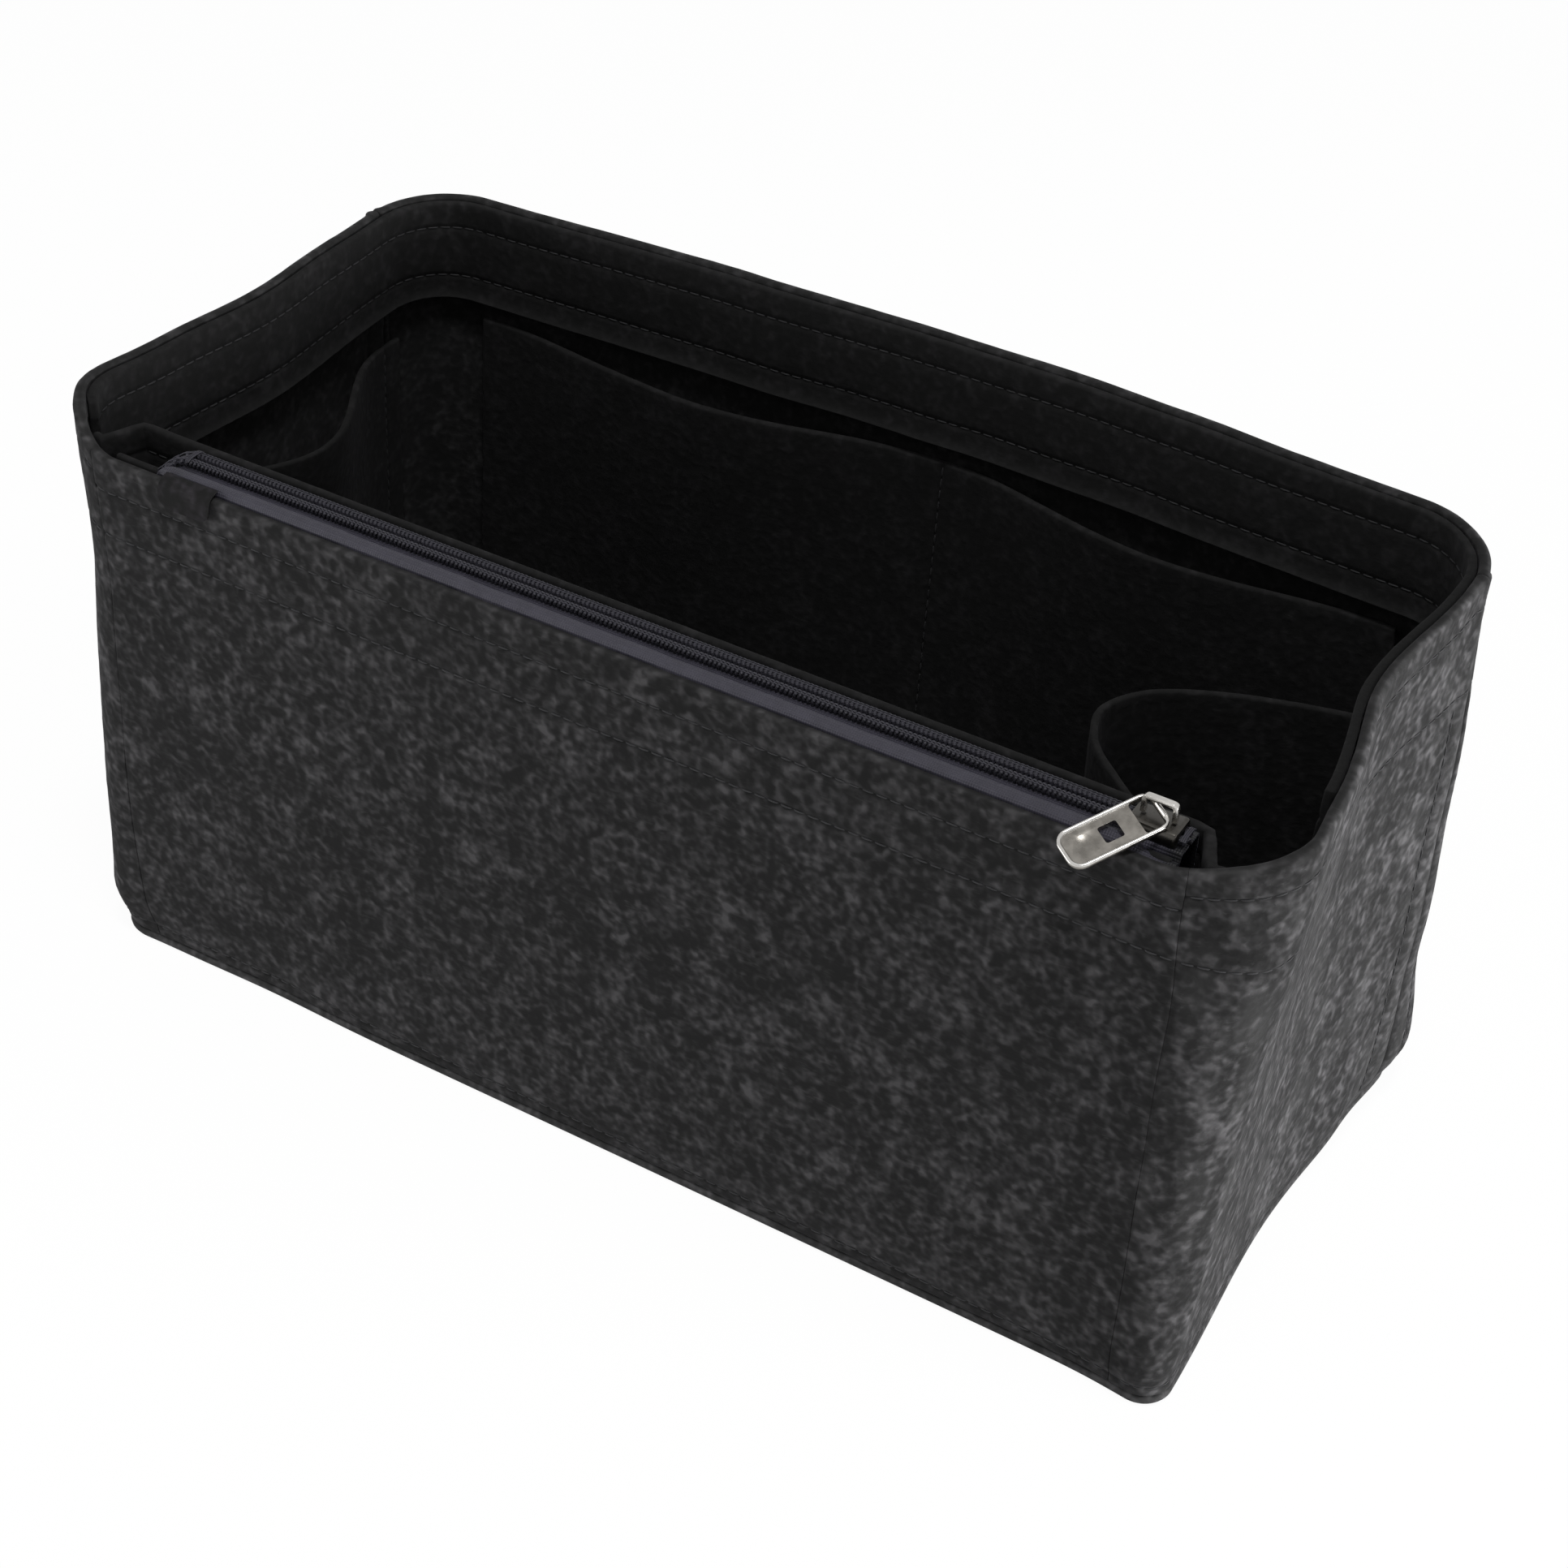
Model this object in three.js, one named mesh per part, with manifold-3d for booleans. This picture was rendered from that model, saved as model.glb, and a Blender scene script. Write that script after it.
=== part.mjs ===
// Purse organizer insert: an open felt box with a zipped front pocket, a slip
// pocket along the back, a slack pocket at the left end and a bottle loop at
// the right end. Millimetres, +Z up, +X along the length, front wall at -Y.
// The origin is the middle of the underside.
import * as THREE from 'three';
import Module from 'manifold-3d';
import { mergeVertices } from 'three/addons/utils/BufferGeometryUtils.js';

const wasm = await Module();
wasm.setup();

// Driving sizes of the felt box
const rimLength = 300;
const rimDepth = 142;
const rimHeight = 155;
const rimCornerRadius = 24;
const endDrawIn = 4.7;
const sideDrawIn = 3;
const baseCornerRadius = 8;
const endDip = 6.5;
const baseEndDip = 3;
const backBow = 7.5;
const outerFelt = 2.6;
const liningFelt = 2;
const pocketFelt = 1.8;
const sewnGap = 0.3;

// Seams of the outer felt, and the lower front rim under the zipper
const frontSeamFromEnd = 17;
const endSeamFromBack = 21;
const frontRimDrop = 7.4;
const frontRimRound = 1.3;

// Facings sewn inside the rim
const rimFacingDepth = 27;
const rimFacingStepDown = 0.6;
const frontFacingDepth = 25;
const frontFacingFromEnd = 21;

// Pockets
const backPocketBelowRim = 32;
const backPocketFromEnd = 24;
const backPocketDividerX = 8;
const backPocketBulge = 8;
const endPocketBelowRim = 37;
const leftPocketFromSide = 25;
const leftPocketBulge = 15;
const endPocketFlange = 8;
const bottleLoopFromSide = 25;
const bottleLoopReach = 64;
const bottleLoopLow = 14;
const bottleLoopOffsetY = 3;

// Zipper: the chain runs along X at one height, inside the front rim
const chainLeftFromEnd = 36;
const chainRightFromEnd = 20;
const coilHalfWidth = 2.3;
const coilSlotHalf = 0.55;
const coilSpine = 0.6;
const coilHeight = 1.8;
const coilPitch = 3;
const coilToothLength = 1.7;
const tapeThickness = 0.6;
const tapeBelowRim = 0.4;
const tapeLegDrop = 9.2;
const tapeRollRadius = 1.35;
const tapeRollSweep = THREE.MathUtils.degToRad(150);
const zipWallFelt = 2.2;
const zipWallBelowTape = 0.2;
const zipWallBaseInset = 9;
const zipWallTurnFromEnd = 19.4;
const zipWallTurnLength = 7;
const zipWallEndLength = 2.5;
const tackWidth = 1.2;
const tackHeight = 0.8;
const tackOverhang = 0.3;
const leftTackFromChainEnd = 2.8;

// Slider and pull tab
const sliderFromChainEnd = 7;
const sliderLength = 10.8;
const sliderHalfWidth = 3.6;
const sliderNarrowing = 0.3;
const sliderCornerRadius = 1.2;
const sliderBevel = 0.8;
const sliderPlate = 1;
const sliderFootPlate = 1.2;
const sliderClearance = 0.3;
const wedgeThickness = 0.5;
const wedgeLength = 2.6;
const wedgeFromMouth = 1;
const bridgeLength = 7.6;
const bridgeLeg = 1;
const bridgeWidth = 1.2;
const bridgeTop = 1;
const bridgeEye = 3.2;
const tabLength = 21.5;
const tabSideBar = 0.8;
const tabThickness = 1;
const tabCornerRadius = 3;
const tabBar = 1.1;
const tabSlotLength = 4.4;
const tabSlotPlay = 0.2;
const tabSlotRadius = 0.8;
const tabWindow = 4;
const tabWindowFromTip = 10.4;
const tabWindowRadius = 0.5;
const tabDimpleRadius = 2.2;
const tabDimpleDepth = 0.3;
const tabDimpleFromTip = 4.8;
const tabBorderWidth = 0.8;
const tabBorderHeight = 0.25;
const tabSwing = THREE.MathUtils.degToRad(55);
const tabLean = THREE.MathUtils.degToRad(20);

// Resolution counts
const stationStepShare = 1 / 8;
const wallRows = 8;
const bandRows = 2;
const loopRows = 4;
const zipWallColumns = 20;
const backPocketColumns = 32;
const leftPocketColumns = 24;
const bottleLoopColumns = 40;
const stationCount = 10;
const arcSteps = 6;

// Places worked out from the driving sizes
const halfLength = rimLength / 2;
const halfDepth = rimDepth / 2;
const baseLength = rimLength - 2 * endDrawIn;
const baseDepth = rimDepth - 2 * sideDrawIn;
const frontSeamX = halfLength - frontSeamFromEnd;
const endSeamY = halfDepth - endSeamFromBack;
const frontRimHeight = rimHeight - frontRimDrop;
const frontFacingHalfLength = halfLength - frontFacingFromEnd;
const backPocketHeight = rimHeight - backPocketBelowRim;
const backPocketHalfLength = halfLength - backPocketFromEnd;
const endPocketHeight = rimHeight - endPocketBelowRim;
const leftPocketHalfWidth = halfDepth - leftPocketFromSide;
const bottleLoopHalfWidth = halfDepth - bottleLoopFromSide;
const chainLeftX = chainLeftFromEnd - halfLength;
const chainRightX = halfLength - chainRightFromEnd;
const tapeLow = frontRimHeight - tapeBelowRim;
const tapeHigh = tapeLow + tapeThickness;
const tapeMiddle = tapeLow + tapeThickness / 2;
const tapeLegLow = tapeLow - tapeLegDrop;
const zipWallHeight = tapeLow - zipWallBelowTape;
const zipWallTurnX = halfLength - zipWallTurnFromEnd;
const leftTackX = chainLeftX + leftTackFromChainEnd;
const sliderX = chainRightX - sliderFromChainEnd;
const tabSlotWidth = bridgeLength + tabSlotPlay;
const tabWidth = tabSlotWidth + 2 * tabSideBar;

// Layers through the front wall, from its outer face to the chain
const innerLayer = outerFelt + sewnGap;
const frontLegInset = innerLayer + tapeThickness / 2;
const rollFootInset = frontLegInset + 2 * tapeRollRadius + tapeThickness / 2;
const chainInset = rollFootInset + sliderClearance + sliderHalfWidth;

// Shape helpers
const { lerp, smoothstep } = THREE.MathUtils;
const quarterTurn = Math.PI / 2;
const heightShare = (z) => z / rimHeight;
const lengthScale = (z) => lerp(baseLength / rimLength, 1, heightShare(z));
const depthScale = (z) => lerp(baseDepth / rimDepth, 1, heightShare(z));
const cornerRadiusAt = (z) => lerp(baseCornerRadius, rimCornerRadius, heightShare(z));
const frontFaceAt = (z) => -halfDepth * depthScale(z);

// Tapers an upright point towards the base, draws the middle of the end walls in
// and lets the slack back wall bow out towards the rim
const dipFromShare = 0.6;
const dipFullShare = 0.9;
function settle(x, y, z) {
  const straightHalf = halfDepth - cornerRadiusAt(z);
  const across = Math.min(1, Math.abs(y) / straightHalf);
  const nearEnd = smoothstep(Math.abs(x) / halfLength, dipFromShare, dipFullShare);
  const dip = lerp(baseEndDip, endDip, heightShare(z)) * Math.cos(across * quarterTurn) ** 2 * nearEnd;
  const along = Math.min(1, Math.abs(x) / halfLength);
  const towardsBack = Math.max(0, y) / halfDepth;
  const bow = backBow * Math.cos(along * quarterTurn) * towardsBack * heightShare(z);
  return new THREE.Vector3((x - Math.sign(x) * dip) * lengthScale(z), y * depthScale(z) + bow, z);
}

// A point on the box wall, a distance inside its outer face. Stations -1 to 1
// are the front, 2 to 3 the right end, 4 to 6 the back, 7 to 8 the left end,
// and one unit turns each corner.
function wallPoint(station, z, inset) {
  const radius = cornerRadiusAt(z);
  const flatX = halfLength - radius;
  const flatY = halfDepth - radius;
  const turn = radius - inset;
  const wrapped = (station + stationCount) % stationCount;
  const mirrored = wrapped > stationCount / 2;
  const s = mirrored ? stationCount - wrapped : wrapped;
  const [front, end, endDone, back] = [1, 2, 3, 4];
  let x = s * flatX;
  let y = inset - halfDepth;
  if (s > back) {
    x = (back + 1 - s) * flatX;
    y = halfDepth - inset;
  } else if (s > endDone) {
    x = flatX + turn * Math.cos((s - endDone) * quarterTurn);
    y = flatY + turn * Math.sin((s - endDone) * quarterTurn);
  } else if (s > end) {
    x = halfLength - inset;
    y = lerp(-flatY, flatY, s - end);
  } else if (s > front) {
    x = flatX + turn * Math.sin((s - front) * quarterTurn);
    y = -flatY - turn * Math.cos((s - front) * quarterTurn);
  }
  return [mirrored ? -x : x, y];
}

// Station of a place on the right half of the front, given its real x
function frontStation(realX, z) {
  const radius = cornerRadiusAt(z);
  const flatX = halfLength - radius;
  const x = realX / lengthScale(z);
  return x <= flatX ? x / flatX : 1 + Math.asin((x - flatX) / radius) / quarterTurn;
}

// Station of a place on the right end, given its real y
function endStation(realY, z) {
  const radius = cornerRadiusAt(z);
  const flatY = halfDepth - radius;
  const y = realY / depthScale(z);
  const [end, endDone] = [2, 3];
  return y <= flatY ? end + (y + flatY) / (2 * flatY)
    : endDone + Math.asin((y - flatY) / radius) / quarterTurn;
}
const mirrorStation = (station) => stationCount - station;

// Height of the rim: level, with a step down to the zipped front. The step is
// made within the turn of each front corner.
const frontCornerCount = 1;
const rimStepFromShare = 0.2;
const rimStepToShare = 0.6;
const rimStepTo = frontCornerCount + rimStepToShare;
function rimTop(station) {
  const s = Math.min(Math.abs(station), Math.abs(stationCount - station));
  return lerp(frontRimHeight, rimHeight, smoothstep(s, frontCornerCount + rimStepFromShare, rimStepTo));
}

// A closed slab between two grids of points, columns by rows
function slab(columns, rows, outer, inner) {
  const points = [];
  for (const face of [outer, inner]) {
    for (let i = 0; i <= columns; i += 1) {
      for (let j = 0; j <= rows; j += 1) points.push(face(i / columns, j / rows));
    }
  }
  const perFace = (columns + 1) * (rows + 1);
  const at = (face, i, j) => face * perFace + i * (rows + 1) + j;
  const index = [];
  const quad = (a, b, c, d) => index.push(a, b, c, a, c, d);
  for (let i = 0; i < columns; i += 1) {
    for (let j = 0; j < rows; j += 1) {
      quad(at(0, i, j), at(0, i + 1, j), at(0, i + 1, j + 1), at(0, i, j + 1));
      quad(at(1, i, j), at(1, i, j + 1), at(1, i + 1, j + 1), at(1, i + 1, j));
    }
    quad(at(0, i, 0), at(1, i, 0), at(1, i + 1, 0), at(0, i + 1, 0));
    quad(at(0, i, rows), at(0, i + 1, rows), at(1, i + 1, rows), at(1, i, rows));
  }
  for (let j = 0; j < rows; j += 1) {
    quad(at(0, 0, j), at(0, 0, j + 1), at(1, 0, j + 1), at(1, 0, j));
    quad(at(0, columns, j), at(1, columns, j), at(1, columns, j + 1), at(0, columns, j + 1));
  }
  const geometry = new THREE.BufferGeometry();
  geometry.setAttribute('position', new THREE.Float32BufferAttribute(points.flatMap((p) => p.toArray()), 3));
  geometry.setIndex(index);
  return geometry;
}

// A sheet of felt that follows the box wall between two stations
function wallSheet({ from, to, low, high, inset, thickness, rows, topRound = 0 }) {
  const columns = Math.ceil((to(rimHeight) - from(rimHeight)) / stationStepShare);
  const face = (faceInset, drop) => (i, j) => {
    const guess = lerp(low, high(lerp(from(rimHeight), to(rimHeight), i)), j);
    const station = lerp(from(guess), to(guess), i);
    const z = lerp(low, high(station) - drop, j);
    const [x, y] = wallPoint(station, z, faceInset);
    return settle(x, y, z);
  };
  return slab(columns, rows, face(inset, topRound), face(inset + thickness, 0));
}

// A sheet that stands on a plan curve, path(share, z) giving x and y
function planSheet({ path, columns, low, high, thickness, rows }) {
  const step = 1 / columns / 4;
  const face = (side) => (i, j) => {
    const z = lerp(low, high, j);
    const [x, y] = path(i, z);
    const [x0, y0] = path(Math.max(0, i - step), z);
    const [x1, y1] = path(Math.min(1, i + step), z);
    const run = Math.hypot(x1 - x0, y1 - y0);
    const offset = side * thickness / 2;
    return settle(x + offset * (y1 - y0) / run, y - offset * (x1 - x0) / run, z);
  };
  return slab(columns, rows, face(1), face(-1));
}

// A straight piece along X from an outline of [y, z] points
function extrudeAlongX(outline, fromX, toX) {
  const shape = new THREE.Shape(outline.map(([y, z]) => new THREE.Vector2(y, z)));
  const geometry = new THREE.ExtrudeGeometry(shape, { depth: toX - fromX, bevelEnabled: false });
  const basis = new THREE.Matrix4().makeBasis(
    new THREE.Vector3(0, 1, 0), new THREE.Vector3(0, 0, 1), new THREE.Vector3(1, 0, 0));
  return geometry.applyMatrix4(basis).translate(fromX, 0, 0);
}

// The outline of a strip of one thickness along a bent line
function stripOutline(line, thickness) {
  const side = (sign) => line.map(([y, z], k) => {
    const [y0, z0] = line[Math.max(0, k - 1)];
    const [y1, z1] = line[Math.min(line.length - 1, k + 1)];
    const run = Math.hypot(y1 - y0, z1 - z0);
    const offset = sign * thickness / 2;
    return [y - offset * (z1 - z0) / run, z + offset * (y1 - y0) / run];
  });
  return [...side(-1), ...side(1).reverse()];
}

function roundedRect(x0, x1, y0, y1, radius) {
  const shape = new THREE.Shape();
  shape.moveTo(x0 + radius, y0);
  shape.lineTo(x1 - radius, y0);
  shape.absarc(x1 - radius, y0 + radius, radius, -quarterTurn, 0);
  shape.lineTo(x1, y1 - radius);
  shape.absarc(x1 - radius, y1 - radius, radius, 0, quarterTurn);
  shape.lineTo(x0 + radius, y1);
  shape.absarc(x0 + radius, y1 - radius, radius, quarterTurn, 2 * quarterTurn);
  shape.lineTo(x0, y0 + radius);
  shape.absarc(x0 + radius, y0 + radius, radius, 2 * quarterTurn, 3 * quarterTurn);
  return shape;
}

const plate = (shape, z0, z1) => new THREE.ExtrudeGeometry(shape, {
  depth: z1 - z0, bevelEnabled: false, curveSegments: arcSteps,
}).translate(0, 0, z0);

const block = (x0, x1, y0, y1, z0, z1) => new THREE.BoxGeometry(x1 - x0, y1 - y0, z1 - z0)
  .translate((x0 + x1) / 2, (y0 + y1) / 2, (z0 + z1) / 2);

// Joins and cuts of closed meshes
function toSolid(geometry) {
  const bare = geometry.clone();
  bare.deleteAttribute('normal');
  bare.deleteAttribute('uv');
  const merged = mergeVertices(bare);
  return new wasm.Manifold(new wasm.Mesh({
    numProp: 3,
    vertProperties: new Float32Array(merged.attributes.position.array),
    triVerts: new Uint32Array(merged.index.array),
  }));
}

function toGeometry(solid) {
  const mesh = solid.getMesh();
  const geometry = new THREE.BufferGeometry();
  geometry.setAttribute('position', new THREE.BufferAttribute(new Float32Array(mesh.vertProperties), 3));
  geometry.setIndex(new THREE.BufferAttribute(new Uint32Array(mesh.triVerts), 1));
  return geometry;
}

// Materials
const feltMaterial = new THREE.MeshStandardMaterial({ color: 0x37373a, roughness: 0.95, metalness: 0 });
const innerFeltMaterial = new THREE.MeshStandardMaterial({ color: 0x2c2c2f, roughness: 0.95, metalness: 0 });
const tapeMaterial = new THREE.MeshStandardMaterial({ color: 0x34343f, roughness: 0.7, metalness: 0 });
const coilMaterial = new THREE.MeshStandardMaterial({ color: 0x2e2e38, roughness: 0.45, metalness: 0 });
const threadMaterial = new THREE.MeshStandardMaterial({ color: 0x242428, roughness: 0.8, metalness: 0 });
const nickelMaterial = new THREE.MeshStandardMaterial({ color: 0xc9c5bd, roughness: 0.22, metalness: 1 });

const insert = new THREE.Group();
function add(name, geometry, material) {
  geometry.computeVertexNormals();
  const mesh = new THREE.Mesh(geometry, material);
  mesh.name = name;
  insert.add(mesh);
  return mesh;
}

// Base panel: the walls stand on its edge
function basePanel() {
  const outline = [];
  for (let s = 0; s < stationCount; s += stationStepShare) {
    const [x, y] = wallPoint(s, 0, 0);
    const placed = settle(x, y, 0);
    outline.push(new THREE.Vector2(placed.x, placed.y));
  }
  return plate(new THREE.Shape(outline), 0, outerFelt);
}
add('base_panel', basePanel(), feltMaterial);

// Outer walls: a flat front, two ends that turn the front corners, and a back
// that turns the back corners
const wallLow = outerFelt + sewnGap;
const seamHalf = sewnGap / 2;
const frontSeam = (z, side) => frontStation(frontSeamX + side * seamHalf, z);
const endSeam = (z, side) => endStation(endSeamY + side * seamHalf, z);
const outerWall = { low: wallLow, high: rimTop, inset: 0, thickness: outerFelt, rows: wallRows };

add('front_panel', wallSheet({
  ...outerWall, from: (z) => -frontSeam(z, -1), to: (z) => frontSeam(z, -1), topRound: frontRimRound,
}), feltMaterial);
add('right_end_panel', wallSheet({
  ...outerWall, from: (z) => frontSeam(z, 1), to: (z) => endSeam(z, -1),
}), feltMaterial);
add('left_end_panel', wallSheet({
  ...outerWall,
  from: (z) => mirrorStation(endSeam(z, -1)),
  to: (z) => mirrorStation(frontSeam(z, 1)),
}), feltMaterial);
add('back_panel', wallSheet({
  ...outerWall, from: (z) => endSeam(z, 1), to: (z) => mirrorStation(endSeam(z, 1)),
}), feltMaterial);

// Facings: a band round the left end, back and right end, and one behind the
// front rim that holds the front tape
add('rim_facing', wallSheet({
  from: () => rimStepTo,
  to: () => mirrorStation(rimStepTo),
  low: rimHeight - rimFacingDepth,
  high: () => rimHeight - rimFacingStepDown,
  inset: innerLayer,
  thickness: liningFelt,
  rows: bandRows,
}), innerFeltMaterial);

const frontFacingTop = tapeLow - sewnGap;
add('front_facing', wallSheet({
  from: (z) => -frontStation(frontFacingHalfLength, z),
  to: (z) => frontStation(frontFacingHalfLength, z),
  low: frontFacingTop - frontFacingDepth,
  high: () => frontFacingTop,
  inset: innerLayer + tapeThickness + sewnGap,
  thickness: liningFelt,
  rows: bandRows,
}), innerFeltMaterial);

// Inner wall of the zipped pocket: straight behind the chain, leaning back
// from the base, and turned forward to the front corners at both ends
const zipWallTopInset = chainInset + sliderHalfWidth + 3 * sewnGap + tapeThickness + zipWallFelt / 2;
const zipWallEndX = zipWallTurnX + zipWallTurnLength + zipWallEndLength;
function zipWallPath(share, z) {
  const turnSteps = 8;
  const straightSteps = 4;
  const turnPart = turnSteps / (2 * turnSteps + straightSteps);
  const edge = Math.min(share, 1 - share);
  const side = share < 1 / 2 ? -1 : 1;
  const away = edge < turnPart
    ? lerp(zipWallEndX, zipWallTurnX, edge / turnPart)
    : lerp(zipWallTurnX, 0, (edge - turnPart) / (1 / 2 - turnPart));
  const x = away / lengthScale(z);
  const radius = cornerRadiusAt(z);
  const cornerInset = innerLayer + zipWallFelt / 2;
  const pastFlat = Math.max(0, x - (halfLength - radius));
  const turn = radius - cornerInset;
  const onWall = -(halfDepth - radius) - Math.sqrt(Math.max(0, turn ** 2 - pastFlat ** 2));
  const behindChain = lerp(zipWallBaseInset, zipWallTopInset, Math.min(1, z / tapeLegLow)) - halfDepth;
  const forward = smoothstep(away, zipWallTurnX, zipWallTurnX + zipWallTurnLength);
  return [side * x, lerp(behindChain, onWall, forward)];
}
add('zip_pocket_wall', planSheet({
  path: zipWallPath,
  columns: zipWallColumns,
  low: wallLow,
  high: zipWallHeight,
  thickness: zipWallFelt,
  rows: wallRows,
}), innerFeltMaterial);

// Back slip pocket: one panel sewn at both ends and down a divider line
function backPocketPath(share, z) {
  const x = lerp(backPocketHalfLength, -backPocketHalfLength, share) / lengthScale(z);
  const divider = backPocketDividerX / lengthScale(z);
  const sideEnd = Math.sign(x - divider) * backPocketHalfLength / lengthScale(z);
  const across = (x - divider) / (sideEnd - divider || 1);
  const slack = backPocketBulge * Math.sin(Math.PI * across) ** 2 * z / backPocketHeight;
  return [x, halfDepth - innerLayer - pocketFelt / 2 - slack];
}
add('back_pocket_panel', planSheet({
  path: backPocketPath,
  columns: backPocketColumns,
  low: wallLow,
  high: backPocketHeight,
  thickness: pocketFelt,
  rows: wallRows,
}), innerFeltMaterial);

// The middle of a pocket panel laid on the inside of an end wall
function endLayerX(y, z) {
  const radius = cornerRadiusAt(z);
  const turn = radius - innerLayer - pocketFelt / 2;
  const pastFlat = Math.max(0, Math.abs(y) - (halfDepth - radius));
  return halfLength - radius + Math.sqrt(Math.max(0, turn ** 2 - pastFlat ** 2));
}

// Left end pocket: a slack panel whose open edge bows away from the wall
function leftPocketPath(share, z) {
  const reach = leftPocketHalfWidth + endPocketFlange;
  const y = lerp(reach, -reach, share);
  const across = Math.min(1, Math.abs(y) / leftPocketHalfWidth);
  const slack = leftPocketBulge * Math.cos(across * quarterTurn) ** 2 * z / endPocketHeight;
  return [slack - endLayerX(y, z), y];
}
add('left_end_pocket', planSheet({
  path: leftPocketPath,
  columns: leftPocketColumns,
  low: wallLow,
  high: endPocketHeight,
  thickness: pocketFelt,
  rows: wallRows,
}), innerFeltMaterial);

// Bottle loop at the right end: two arms and a rounded nose, open below.
// Each pair is a share of the reach and a share of the half width.
const loopShares = [
  [0, 1.06], [0, 0.93], [0.05, 0.86], [0.22, 0.77], [0.45, 0.66], [0.7, 0.53], [0.92, 0.34], [1, 0.12],
  [0.94, -0.12], [0.8, -0.32], [0.6, -0.53], [0.3, -0.8], [0.06, -0.95], [0, -1.03], [0, -1.16],
];
const loopCurve = new THREE.CatmullRomCurve3(loopShares.map(([reach, width]) => new THREE.Vector3(
  -reach * bottleLoopReach, bottleLoopOffsetY + width * bottleLoopHalfWidth, 0)));
function bottleLoopPath(share, z) {
  const p = loopCurve.getPointAt(share);
  return [endLayerX(p.y, z) + Math.min(0, p.x), p.y];
}
add('right_end_bottle_loop', planSheet({
  path: bottleLoopPath,
  columns: bottleLoopColumns,
  low: bottleLoopLow,
  high: endPocketHeight,
  thickness: pocketFelt,
  rows: loopRows,
}), innerFeltMaterial);

// Zipper tapes: each rises beside its felt wall and turns level to the chain
const chainY = frontFaceAt(tapeHigh) + chainInset;
const frontLegY = frontFaceAt(tapeLegLow) + frontLegInset;
const frontTapeLine = [[frontLegY, tapeLegLow], [frontLegY, tapeMiddle]];
for (let k = 1; k <= arcSteps; k += 1) {
  const angle = Math.PI - tapeRollSweep * k / arcSteps;
  frontTapeLine.push([
    frontLegY + tapeRollRadius + tapeRollRadius * Math.cos(angle),
    tapeMiddle + tapeRollRadius * Math.sin(angle),
  ]);
}
const rollFoot = frontLegY + 2 * tapeRollRadius + tapeThickness / 2;
frontTapeLine.push([rollFoot, tapeMiddle], [chainY - coilSlotHalf, tapeMiddle]);
add('zip_front_tape', extrudeAlongX(stripOutline(frontTapeLine, tapeThickness), chainLeftX, chainRightX),
  tapeMaterial);

const rearLegY = chainY + sliderHalfWidth + 2 * sewnGap + tapeThickness / 2;
const rearTapeLine = [
  [chainY + coilSlotHalf, tapeMiddle],
  [rearLegY - tapeThickness, tapeMiddle],
  [rearLegY, tapeMiddle - tapeThickness],
  [rearLegY, tapeLegLow],
];
add('zip_rear_tape', extrudeAlongX(stripOutline(rearTapeLine, tapeThickness), chainLeftX, chainRightX),
  tapeMaterial);

// Coil rows: a spine along the tape with turns towards the other row
const coilLow = tapeHigh + sewnGap;
const coilHigh = coilLow + coilHeight;
function coilRow(side) {
  const shape = new THREE.Shape();
  const outerEdge = side * coilHalfWidth;
  const spineEdge = side * (coilHalfWidth - coilSpine);
  const toothEdge = side * coilSlotHalf;
  const turns = Math.floor((chainRightX - chainLeftX) / coilPitch);
  shape.moveTo(chainLeftX, outerEdge);
  shape.lineTo(chainRightX, outerEdge);
  shape.lineTo(chainRightX, spineEdge);
  for (let k = 0; k < turns; k += 1) {
    const x = chainRightX - k * coilPitch - (coilPitch - coilToothLength) / 2;
    shape.lineTo(x, spineEdge);
    shape.lineTo(x, toothEdge);
    shape.lineTo(x - coilToothLength, toothEdge);
    shape.lineTo(x - coilToothLength, spineEdge);
  }
  shape.lineTo(chainLeftX, spineEdge);
  return plate(shape, coilLow, coilHigh).translate(0, chainY, 0);
}
add('zip_front_coil', coilRow(-1), coilMaterial);
add('zip_rear_coil', coilRow(1), coilMaterial);

// Thread bars sewn across the chain, which stop the slider at both ends
const tackLow = coilHigh + sewnGap;
const tackHalf = coilHalfWidth + tackOverhang;
const rightTackX = sliderX + sliderLength / 2 + sliderClearance;
const tackTop = tackLow + tackHeight;
const tack = (x) => block(x, x + tackWidth, chainY - tackHalf, chainY + tackHalf, tackLow, tackTop);
add('left_bar_tack', tack(leftTackX), threadMaterial);
add('right_bar_tack', tack(rightTackX), threadMaterial);

// Slider: two plates joined by the wedge, with side lips round the coils
const slotLow = tapeLow - sliderClearance;
const slotHigh = tapeHigh + sliderClearance;
const sliderLow = slotLow - sliderFootPlate;
const channelHigh = coilHigh + sliderClearance;
const sliderHigh = channelHigh + sliderPlate;
const channelHalf = coilHalfWidth + sliderClearance;

function sliderOutline() {
  const tail = -sliderLength / 2;
  const mouth = sliderLength / 2;
  const wide = sliderHalfWidth;
  const narrow = sliderHalfWidth - sliderNarrowing;
  const round = sliderCornerRadius;
  const shape = new THREE.Shape();
  shape.moveTo(tail + round, -narrow);
  shape.lineTo(mouth - round, -wide);
  shape.quadraticCurveTo(mouth, -wide, mouth, -wide + round);
  shape.lineTo(mouth, wide - round);
  shape.quadraticCurveTo(mouth, wide, mouth - round, wide);
  shape.lineTo(tail + round, narrow);
  shape.quadraticCurveTo(tail, narrow, tail, narrow - round);
  shape.lineTo(tail, round - narrow);
  shape.quadraticCurveTo(tail, -narrow, tail + round, -narrow);
  return shape;
}

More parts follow.
